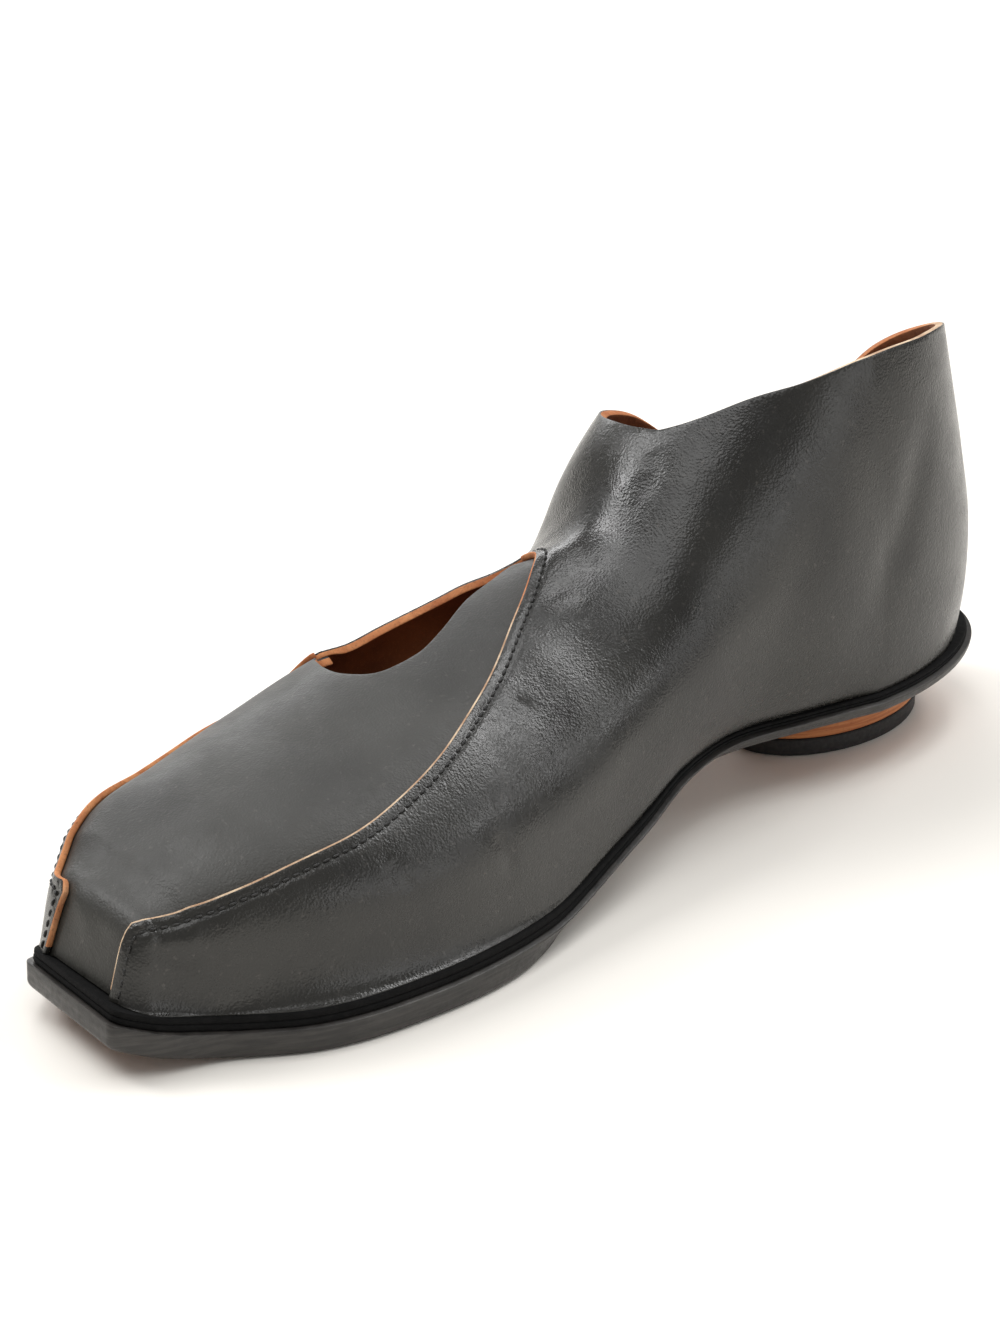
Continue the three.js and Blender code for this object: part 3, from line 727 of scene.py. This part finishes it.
def flesh_leather():
    """Brown suede-like inner side."""
    finish = Finish("brown_flesh_side", Roughness=0.85)
    nap = finish.noise(1600, 6, 0.7)
    cloud = finish.noise(60, 4)
    tone = finish.colours(finish.between(cloud, 0.3, 0.7), rgb(104, 58, 30), rgb(140, 84, 46))
    tone = finish.colours(finish.between(nap, 0.5, 0.75, 0, 0.5), tone, rgb(172, 112, 66))
    return finish.feed(Base_Color=tone, Normal=finish.bump(nap, 0.0003, 0.6))


def raw_edge():
    """Cut edge of the leather, tan and fibrous, paler on the medial side as painted light."""
    finish = Finish("raw_tan_edge", Roughness=0.75)
    fibre = finish.noise(1300, 6, 0.7)
    patch = finish.noise(140, 4, 0.6)
    across = finish.node("SeparateXYZ", {"Vector": finish.place}).outputs["X"]
    painted_light_tone = finish.colours(finish.between(patch, 0.3, 0.7), rgb(170, 134, 104), rgb(214, 190, 160))
    tan = finish.colours(finish.between(patch, 0.3, 0.7), rgb(170, 98, 52), rgb(204, 136, 84))
    # painted light: edges on the medial side get the paler painted-light tone, those on the lateral side
    # keep the cut leather's tan
    tone = finish.colours(finish.between(across, -0.004, 0.006), tan, painted_light_tone)
    tone = finish.colours(finish.between(fibre, 0.5, 0.76, 0, 0.75), tone, rgb(96, 56, 34))
    return finish.feed(Base_Color=tone, Normal=finish.bump(fibre, 0.0004, 0.7))


def sole_edge():
    """Inked and burnished edge of the outsole."""
    finish = Finish("dark_sole_edge", Roughness=0.4)
    layer = finish.noise(90, 5, 0.6, finish.stretched(1, 1, 14))
    fine = finish.noise(700, 5)
    tone = finish.colours(finish.between(layer, 0.35, 0.7), rgb(38, 36, 34), rgb(58, 55, 52))
    normal = finish.bump(finish.math("ADD", layer, fine), 0.0002, 0.4)
    return finish.feed(Base_Color=tone, Roughness=finish.between(fine, 0.3, 0.7, 0.35, 0.5), Normal=normal)


def sole_leather_and_painted_shade():
    """Waxed tan leather under the shoe, with rubbed specks; its tan is darker than the leather's own as
    painted shade under the sole.
    """
    finish = Finish("tan_sole_leather", Roughness=0.55)
    patch = finish.noise(22, 5, 0.6)
    fine = finish.noise(500, 6, 0.65)
    # painted shade: both tans are darker than the sole leather's own colour, standing for the shade under
    # the shoe
    tone = finish.colours(finish.between(patch, 0.3, 0.7), rgb(92, 60, 40), rgb(116, 80, 54))
    tone = finish.colours(finish.between(fine, 0.55, 0.8, 0, 0.5), tone, rgb(140, 80, 44))
    return finish.feed(Base_Color=tone, Normal=finish.bump(fine, 0.0002, 0.5))


def welt_black_and_gap_shade():
    # Black welt whose near-zero black and weak gloss are partly its own colour and partly painted shade of
    # the gap between the upper and the sole
    finish = Finish("black_welt", Roughness=0.9, Specular_IOR_Level=0.25)
    fine = finish.noise(600, 6, 0.65)
    tone = finish.colours(finish.between(fine, 0.4, 0.75), rgb(4, 4, 4), rgb(16, 15, 15))
    return finish.feed(Base_Color=tone, Normal=finish.bump(fine, 0.0003, 0.6))


def lift_leather():
    """Stacked tan leather of the heel, in layers."""
    finish = Finish("tan_heel_leather", Roughness=0.6)
    layer = finish.noise(60, 5, 0.6, finish.stretched(1, 1, 20))
    fine = finish.noise(800, 6, 0.65)
    tone = finish.colours(finish.between(layer, 0.35, 0.65), rgb(168, 96, 52), rgb(196, 126, 76))
    tone = finish.colours(finish.between(fine, 0.55, 0.8, 0, 0.6), tone, rgb(112, 62, 34))
    return finish.feed(Base_Color=tone, Normal=finish.bump(finish.math("ADD", layer, fine), 0.0003, 0.5))


def rubber():
    finish = Finish("black_rubber", Roughness=0.7)
    fine = finish.noise(900, 4, 0.6)
    tone = finish.colours(finish.between(fine, 0.35, 0.75), rgb(24, 24, 25), rgb(44, 43, 43))
    return finish.feed(Base_Color=tone, Normal=finish.bump(fine, 0.0002, 0.4))


def thread():
    finish = Finish("black_waxed_thread", Roughness=0.5)
    twist = finish.noise(2400, 3, 0.5)
    tone = finish.colours(finish.between(twist, 0.35, 0.7), rgb(10, 10, 10), rgb(40, 38, 36))
    return finish.feed(Base_Color=tone, Normal=finish.bump(twist, 0.0002, 0.6))


GRAIN = grain_leather("black_grain_leather", rgb(30, 29, 27), rgb(42, 41, 38), 0.2, 0.32)
VAMP = grain_leather("black_vamp_leather", rgb(36, 35, 32), rgb(46, 45, 41), 0.42, 0.54)
FLESH, RAW = flesh_leather(), raw_edge()


# The last's surface and the fields that its pieces are cut by
last_points, last_faces = weld_grid(last_grid())
last_normals = point_normals(last_points, last_faces)
plug_field = plan_field(last_points, PLUG_LOOP)
hole_field = plan_field(last_points, HOLE_LOOP)
collar_field = rim_field(last_points)

# Soft folds as (share of LENGTH, share of BALL_WIDTH, share of COLLAR_HEIGHT over the lower edge), each
# with its depth and half width in millimetres; a negative depth is a ridge
FOLDS = [
    (0.4, 8.0, [(0.643, 0.268, 0.584), (0.619, 0.287, 0.508), (0.585, 0.309, 0.433), (0.556, 0.335, 0.353),
                (0.522, 0.359, 0.282)]),
    (-0.25, 8.0, [(0.69, 0.3, 0.5), (0.66, 0.312, 0.42), (0.62, 0.32, 0.34), (0.585, 0.33, 0.25)]),
    (0.2, 2.2, [(0.549, -0.009, 0.612), (0.548, 0.039, 0.603), (0.548, 0.082, 0.592)]),
    (0.25, 2.0, [(0.486, 0.078, 0.567), (0.504, 0.086, 0.564), (0.519, 0.1, 0.563)]),
    (0.4, 2.0, [(0.404, 0.247, 0.508), (0.41, 0.26, 0.498), (0.415, 0.278, 0.483)]),
    (0.45, 2.0, [(0.324, 0.446, 0.295), (0.333, 0.454, 0.261), (0.339, 0.459, 0.217),
                 (0.342, 0.459, 0.17)]),
    (0.35, 2.0, [(0.226, 0.426, 0.321), (0.232, 0.446, 0.282), (0.241, 0.461, 0.23)]),
    (0.5, 3.0, [(0.034, 0.272, 0.175), (0.053, 0.309, 0.16), (0.08, 0.343, 0.15)]),
    (-0.7, 1.6, [(0.0385, 0.252, 0.232), (0.0385, 0.268, 0.214)]),
    (-0.5, 3.5, [(0.045, 0.3, 0.2), (0.075, 0.34, 0.2)]),
    (0.9, 2.4, [(0.042, -0.002, 0.21), (0.036, 0.025, 0.146), (0.032, 0.054, 0.094)]),
    (-0.7, 2.6, [(0.05, 0.03, 0.235), (0.04, 0.045, 0.207), (0.036, 0.086, 0.169), (0.03, 0.14, 0.1)]),
    (0.6, 3.2, [(0.048, 0.005, 0.23), (0.06, 0.02, 0.26), (0.08, 0.03, 0.3)]),
    (-0.5, 5.0, [(0.06, 0.09, 0.28), (0.1, 0.13, 0.37), (0.15, 0.16, 0.42)]),
    (0.5, 6.0, [(0.34, 0.077, 0.539), (0.3, 0.111, 0.507), (0.259, 0.117, 0.48)]),
    (0.4, 3.0, [(0.623, 0.009, 0.819), (0.615, 0.052, 0.783), (0.595, 0.067, 0.717)]),
    (0.9, 6.0, [(0.86, 0.3, 0.8), (0.83, 0.31, 0.55), (0.8, 0.32, 0.3)]),
    (0.5, 6.0, [(0.73, 0.3, 0.85), (0.72, 0.31, 0.6), (0.69, 0.31, 0.4)]),
    (0.7, 5.0, [(0.36, -0.47, 0.25), (0.4, -0.4, 0.4), (0.43, -0.34, 0.5)]),
    (0.6, 5.0, [(0.29, -0.45, 0.22), (0.32, -0.4, 0.36), (0.34, -0.34, 0.45)]),
    (0.7, 6.0, [(0.62, -0.34, 0.6), (0.6, -0.36, 0.4), (0.57, -0.38, 0.25)]),
    (0.6, 6.0, [(0.82, -0.34, 0.5), (0.8, -0.34, 0.3), (0.77, -0.34, 0.15)]),
]


def fold_depth(points):
    """How far folds move each point, inwards negative. The ends of a fold run out softly."""
    moved = np.zeros(len(points))
    for depth, half, rows in FOLDS:
        at, across, up = np.array(rows).T
        line = np.stack([across * BALL_WIDTH, along(at), up * COLLAR_HEIGHT + lower_edge(at)], 1)
        best, place = np.full(len(points), 1e9), np.zeros(len(points))
        for k, (p, q) in enumerate(zip(line[:-1], line[1:])):
            step = q - p
            t = np.clip((points - p) @ step / (step @ step), 0, 1)
            far = np.linalg.norm(points - p - t[:, None] * step, axis=1)
            place = np.where(far < best, (k + t) / (len(line) - 1), place)
            best = np.minimum(best, far)
        fade = smoothstep(0, 0.25, place) * smoothstep(0, 0.25, 1 - place)
        moved -= depth * (0.35 + 0.65 * fade) * np.exp(-(best / half) ** 2)
    return moved


sheet_points = last_points + last_normals * fold_depth(last_points)[:, None]

SEAM_REACH = 14.0
SEAM_EDGE = 0.8  # a cut point this close to the seam lies on it
SEAM_STEPS = 0.25

seam_lines = []
for line in lines_at_zero(last_points, last_faces, plug_field):
    outside = np.minimum(plan_field(line, HOLE_LOOP), -rim_field(line))
    seam_lines += split_outside(line, outside)
seam_points = np.concatenate([walk(line, SEAM_STEPS) for line in seam_lines])
seam_distance = distance_to(last_points, seam_points, SEAM_REACH) * np.where(plug_field < 0, -1, 1)

STITCH_ROW = 2.1  # from the raw edge to the stitches
STITCH_PITCH = 2.5
STITCH_RADIUS = 0.3
STITCH_STEP = 0.1  # between the points of a stitch line
STITCH_SINK = np.array([-0.6, -0.2, -0.1, -0.08, -0.1, -0.2, -0.6])  # depth along one stitch
CHANNEL_DEPTH = 0.35
CHANNEL_HALF = 0.8
PLUG_CLEAR = 0.05


def quarters():
    """The leather that wraps the heel, the sides and the strap, with its overlap on the plug."""
    channel = -CHANNEL_DEPTH * np.exp(-((seam_distance - STITCH_ROW) / CHANNEL_HALF) ** 2)
    points = sheet_points + last_normals * channel[:, None]
    thin = smoothstep(SEAM_LAP + 1, SEAM_LAP + 5, np.abs(seam_distance))
    wall = LAP_WALL + (WALL - LAP_WALL) * thin
    extra = [points, last_normals, wall, -hole_field, collar_field, seam_distance]
    points, faces, extra = clip(last_points, last_faces, -plug_field, extra)
    points, faces, extra = clip(points, faces, extra[3], extra)
    points, faces, extra = clip(points, faces, extra[4], extra)
    points, normals, wall = extra[:3]
    at_seam = np.abs(extra[5]) < SEAM_EDGE
    points, faces, numbers = thicken(points, normals, faces, wall[:, None], at_seam)
    return mesh_object("upper_quarters", points, faces, [GRAIN, FLESH, RAW], numbers)


def plug():
    """Vamp and folded toe, one step deeper than the quarters and running on under them."""
    points = sheet_points - last_normals * (SEAM_STEP + PLUG_CLEAR)
    reach = np.where(plug_field < 0, -1.0, seam_distance) - SEAM_LAP
    points, faces, extra = clip(last_points, last_faces, reach, [points, last_normals, -hole_field])
    points, faces, extra = clip(points, faces, extra[2], extra)
    points, normals = extra[:2]
    wall = np.full((len(points), 1), WALL)
    points, faces, numbers = thicken(points, normals, faces, wall, np.zeros(len(points), bool))
    return mesh_object("upper_plug", points, faces, [VAMP, FLESH, RAW], numbers)


def stitch_lines():
    lines = []
    for line in lines_at_zero(last_points, last_faces, seam_distance - STITCH_ROW):
        outside = np.minimum(plan_field(line, HOLE_LOOP) - 1.5, -rim_field(line))
        lines += split_outside(line, outside)
    return lines


def capsules(paths, radius, sides=6):
    """Small tubes with pointed ends along short paths."""
    points, faces = [], []
    for path in paths:
        first = len(points)
        ahead = np.gradient(path, axis=0)
        ahead /= np.linalg.norm(ahead, axis=1)[:, None]
        count = len(path)
        for k in range(count):
            size = radius * math.sqrt(max(0.02, 1 - (2 * k / (count - 1) - 1) ** 4))
            across = np.cross(ahead[k], (0.31, 0.17, 0.93))
            across /= np.linalg.norm(across)
            other = np.cross(ahead[k], across)
            for s in range(sides):
                turn = 2 * math.pi * s / sides
                points.append(path[k] + size * (math.cos(turn) * across + math.sin(turn) * other))
        for k in range(count - 1):
            for s in range(sides):
                a, b = first + k * sides + s, first + k * sides + (s + 1) % sides
                faces += [(a, b, b + sides), (a, b + sides, a + sides)]
        for s in range(1, sides - 1):
            faces.append((first, first + s + 1, first + s))
            end = first + (count - 1) * sides
            faces.append((end, end + s, end + s + 1))
    return np.array(points), np.array(faces)


def stitches():
    """One row of black stitches on the quarters, beside the raw edge."""
    tree = tree_of(last_points)
    paths = []
    for line in stitch_lines():
        dense = walk(line, STITCH_STEP)
        normals = last_normals[[tree.find(p)[1] for p in dense]]
        step = STITCH_PITCH / STITCH_STEP
        for k in range(int(len(dense) / step)):
            picks = np.linspace(k * step + 2, (k + 1) * step - 3, len(STITCH_SINK)).astype(int)
            paths.append(dense[picks] + normals[picks] * STITCH_SINK[:, None])
    points, faces = capsules(paths, STITCH_RADIUS)
    return mesh_object("upper_stitches", points, faces, [thread()])


def slab(levels, spacing=2.0, corner=1.5):
    """Layer of the sole. Levels are (inset(at), height(at)), from the lowest to the highest. Returns
    points, faces and the side of each face: 0 edge, 1 underside, 2 top."""
    psi = np.linspace(0, math.pi / 2, 5)[:-1]
    rings = []
    for inset, height in levels:
        front, back = TOE_Y + inset(0.0), -TOE_Y - inset(1.0)
        y, narrow = stations(front + corner, back, spacing)
        y = np.concatenate([front + corner * (1 - np.cos(psi)), y])
        narrow = np.concatenate([np.ones(len(psi)), narrow])
        cut = np.concatenate([corner * (1 - np.sin(psi)), np.zeros(len(y) - len(psi))])
        at = share(y)
        sides = [edge * narrow for edge in outline(y, inset(at) + cut)]
        rings.append([np.stack([x, y + skew(x, y), height(at) + 0 * y], 1) for x in sides])
    count, depth = len(rings[0][0]), len(levels)
    order = [(k, 0) for k in range(depth)] + [(k, 1) for k in reversed(range(depth))]
    points = np.concatenate([rings[k][side] for k, side in order])
    faces, numbers = [], []
    ring = len(order)
    for s in range(ring):
        kind = 1 if s == ring - 1 else 2 if s == depth - 1 else 0
        a, b = s * count, (s + 1) % ring * count
        for i in range(count - 1):
            faces += [(a + i, b + i, b + i + 1), (a + i, b + i + 1, a + i + 1)]
            numbers += [kind, kind]
    for k in range(depth - 1):
        a, b, c, d = k * count, (ring - 1 - k) * count, (ring - 2 - k) * count, (k + 1) * count
        faces += [(a, b, c), (a, c, d)]
        numbers += [0, 0]
    return points, np.array(faces), np.array(numbers)


def rounded(under, over, inset, low_round, high_round, steps=4):
    """Levels of an edge with a rounded lower and upper corner."""
    levels = []
    for k in range(steps + 1):
        turn = k / steps * math.pi / 2
        levels.append((
            lambda at, t=turn: inset(at) + low_round * (1 - math.sin(t)),
            lambda at, t=turn: under(at) + low_round * (1 - math.cos(t)),
        ))
    for k in range(steps + 1):
        turn = k / steps * math.pi / 2
        levels.append((
            lambda at, t=turn: inset(at) + high_round * (1 - math.cos(t)),
            lambda at, t=turn: over(at) - high_round * (1 - math.sin(t)),
        ))
    return levels


def outsole():
    def cut(at):
        return UPPER_INSET * plan("bevel", at)

    levels = []
    for k in range(6):
        turn = k / 5 * math.pi / 2
        levels.append((
            lambda at, t=turn: cut(at) + 1.6 * (1 - math.sin(t)) + 0 * at,
            lambda at, t=turn: sole_under(at) + 1.5 * (1 - math.cos(t)),
        ))
    levels += [
        (lambda at: 0.6 * cut(at), lambda at: 0.45 * sole_under(at) + 0.55 * sole_top(at)),
        (lambda at: 0.0 * at, lambda at: sole_top(at) - 0.45),
        (lambda at: 0.12 + 0.0 * at, lambda at: sole_top(at) - 0.15),
        (lambda at: 0.45 + 0.0 * at, sole_top),
    ]
    points, faces, numbers = slab(levels)
    edge, under = sole_edge(), sole_leather_and_painted_shade()
    piece = tidy_object("outsole_leather", points, faces, [edge, under, edge], numbers, crease=30)
    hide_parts("outsole")


WELT_CLEAR = 0.08  # between outsole and welt
WELT_DEEPER = 0.5  # the welt's dark band lies this much deeper than its solid


def welt():
    """Black band with a groove round its middle."""
    def part(up):
        return lambda at: sole_top(at) + WELT_CLEAR + up * (welt_top(at) - sole_top(at) - WELT_CLEAR)

    def inset(more):
        return lambda at: WELT_INSET + WELT_DEEPER + more + 0 * at

    levels = [
        (inset(0.5), part(0)),
        (inset(0.12), part(0.06)),
        (inset(0), part(0.16)),
        (inset(0.05), part(0.42)),
        (inset(0.3), part(0.48)),
        (inset(0.5), part(0.52)),
        (inset(0.3), part(0.56)),
        (inset(0.2), part(0.64)),
        (inset(0.25), part(0.86)),
        (inset(0.45), part(0.96)),
        (inset(0.8), part(1)),
    ]
    points, faces, numbers = slab(levels, corner=2)
    piece = tidy_object("welt_band", points, faces, [welt_black_and_gap_shade()])
    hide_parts("welt")


INSOLE_CLEAR = 0.4
DOUBLED = (0.08, 0.14)  # the upper's wall is doubled before these places, as shares of LENGTH
FACE_END = 0.03
HEEL_START = 0.8


def insole():
    """Leather sheet that keeps clear of the upper's wall, of its toe and of its back."""
    def inset(at):
        doubled = SEAM_STEP * (1 - smoothstep(*DOUBLED, at))
        face = 0.5 * TOE_FILLET * (1 - smoothstep(0, FACE_END, at))
        behind = (-TOE_Y - UPPER_BACK_Y - UPPER_INSET) * smoothstep(HEEL_START, 1, at)
        return UPPER_INSET + WALL + INSOLE_CLEAR + doubled + face + behind

    levels = rounded(lower_edge, lambda at: lower_edge(at) + INSOLE, inset, 0.3, 0.6)
    points, faces, numbers = slab(levels, corner=3)
    piece = tidy_object("insole_sheet", points, faces, [flesh_leather()])
    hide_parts("insole")


def oval(levels, count=96):
    """Upright oval block of the heel through levels of (height, grow)."""
    turn = np.linspace(0, 2 * math.pi, count, endpoint=False)
    points = [
        ((HEEL_WIDE / 2 + grow) * math.cos(t), HEEL_Y + (HEEL_LONG / 2 + grow) * math.sin(t), z)
        for z, grow in levels for t in turn
    ]
    faces = []
    for k in range(len(levels) - 1):
        for i in range(count):
            a, b = k * count + i, k * count + (i + 1) % count
            faces += [(a, b, b + count), (a, b + count, a + count)]
    top = (len(levels) - 1) * count
    faces.append(tuple(range(count))[::-1])
    faces.append(tuple(top + i for i in range(count)))
    return np.array(points), faces


def block(name, levels, finish, node):
    points, faces = oval(levels)
    mesh = bpy.data.meshes.new(name)
    mesh.from_pydata(((points + MOVE) / 1000).tolist(), [], faces)
    mesh.materials.append(finish)
    mesh.polygons.foreach_set("use_smooth", np.ones(len(mesh.polygons), bool))
    mesh.update()
    mesh.set_sharp_from_angle(angle=math.radians(40))
    piece = bpy.data.objects.new(name, mesh)
    bpy.context.scene.collection.objects.link(piece)
    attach(piece, "root")
    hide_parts(node)


LIFT_LAYERS = 3


def heel():
    """Rubber top piece and the stacked lift, with a fine groove between its layers."""
    block("heel_rubber", [(0, -1), (0.3, -0.3), (1, 0), (TOP_PIECE - 0.3, 0), (TOP_PIECE, -0.3)],
          rubber(), "heel_top_piece")
    low, high = TOP_PIECE + GAP, HEEL_HEIGHT - GAP
    levels = []
    for k in range(LIFT_LAYERS):
        a = low + (high - low) * k / LIFT_LAYERS
        b = low + (high - low) * (k + 1) / LIFT_LAYERS
        for z, dip in ((a, 0.3), (a + 0.25, 0.05), (a + 0.6, 0), (b - 0.6, 0), (b - 0.25, 0.05)):
            levels.append((z, HEEL_FLARE * (z - low) / (high - low) - dip))
    levels.append((high, HEEL_FLARE - 0.3))
    block("heel_lift_layers", levels, lift_leather(), "heel_lift")


quarter_piece = quarters()
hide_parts("upper")
plug()
stitches()
outsole()
welt()
insole()
heel()


def floor():
    finish = Finish("pale_floor", Roughness=0.6)
    finish.shader.inputs["Base Color"].default_value = rgb(246, 242, 235)
    bpy.ops.mesh.primitive_plane_add(size=12, location=(0, 0, 0))
    plane = bpy.context.object
    plane.name = "floor"
    plane.data.materials.append(finish.material)


def area(name, place, size, power):
    light = bpy.data.lights.new(name, "AREA")
    light.shape = "RECTANGLE"
    light.size, light.size_y = size
    light.energy = power
    lamp = bpy.data.objects.new(name, light)
    bpy.context.scene.collection.objects.link(lamp)
    lamp.location = place
    lamp.rotation_euler = (Vector(LIGHT_AIM) - Vector(place)).to_track_quat("-Z", "Y").to_euler()


WORLD_STRENGTH = 0.3
LIGHT_AIM = (0, 0, 0.04)
# Name, place, size and power of each soft light
LIGHTS = [
    ("window", (-0.6, -0.1, 1.42), (1.2, 0.4), 8),
    ("front_window", (-0.9, -0.62, 1.05), (0.45, 0.45), 8),
    ("backdrop", (-1.35, 0.55, 0.5), (1.1, 0.4), 6),
    ("overhead", (0.3, -0.5, 1.9), (1.2, 1.2), 12),
    ("strip_0", (-0.15, 0.75, 1.32), (0.34, 0.34), 3.5),
    ("strip_1", (0.2, 0.9, 1.2), (0.34, 0.34), 3.5),
    ("strip_2", (0.56, 0.96, 1.02), (0.34, 0.34), 1.8),
    ("strip_3", (0.94, 0.94, 0.7), (0.34, 0.34), 1.6),
    ("panel", (1.5, 0.55, 0.3), (1.0, 0.5), 2.5),
]
CAMERA_TARGET = np.array([0, -8.8, 45.0])
CAMERA_DISTANCE = 935.0
CAMERA_AZIMUTH = 47.99
CAMERA_ELEVATION = 25.51
CAMERA_ROLL = 1.42
CAMERA_FOCAL_PIXELS = 4155.0
PHOTO_HEIGHT = 1333


def camera():
    azimuth, elevation, roll = (math.radians(a) for a in (CAMERA_AZIMUTH, CAMERA_ELEVATION, CAMERA_ROLL))
    back = Vector((math.sin(azimuth) * math.cos(elevation), -math.cos(azimuth) * math.cos(elevation),
                   math.sin(elevation)))
    side = (-back).cross(Vector((0, 0, 1))).normalized()
    up = side.cross(-back)
    right = math.cos(roll) * side + math.sin(roll) * up
    top = -math.sin(roll) * side + math.cos(roll) * up
    place = Vector((CAMERA_TARGET + MOVE) / 1000) + back * CAMERA_DISTANCE / 1000
    data = bpy.data.cameras.new("camera")
    data.sensor_width = 36
    data.sensor_fit = "AUTO"
    data.lens = CAMERA_FOCAL_PIXELS * 36 / PHOTO_HEIGHT
    data.clip_start = 0.01
    eye = bpy.data.objects.new("camera", data)
    bpy.context.scene.collection.objects.link(eye)
    eye.matrix_world = Matrix.Translation(place) @ Matrix((right, top, back)).transposed().to_4x4()
    bpy.context.scene.camera = eye


def lights():
    world = bpy.data.worlds.new("studio")
    world.use_nodes = True
    world.node_tree.nodes["Background"].inputs["Color"].default_value = (1, 1, 1, 1)
    world.node_tree.nodes["Background"].inputs["Strength"].default_value = WORLD_STRENGTH
    bpy.context.scene.world = world
    for name, place, size, power in LIGHTS:
        area(name, place, size, power)
    bpy.context.scene.view_settings.view_transform = "Standard"


floor()
camera()
lights()

bpy.context.view_layer.update()
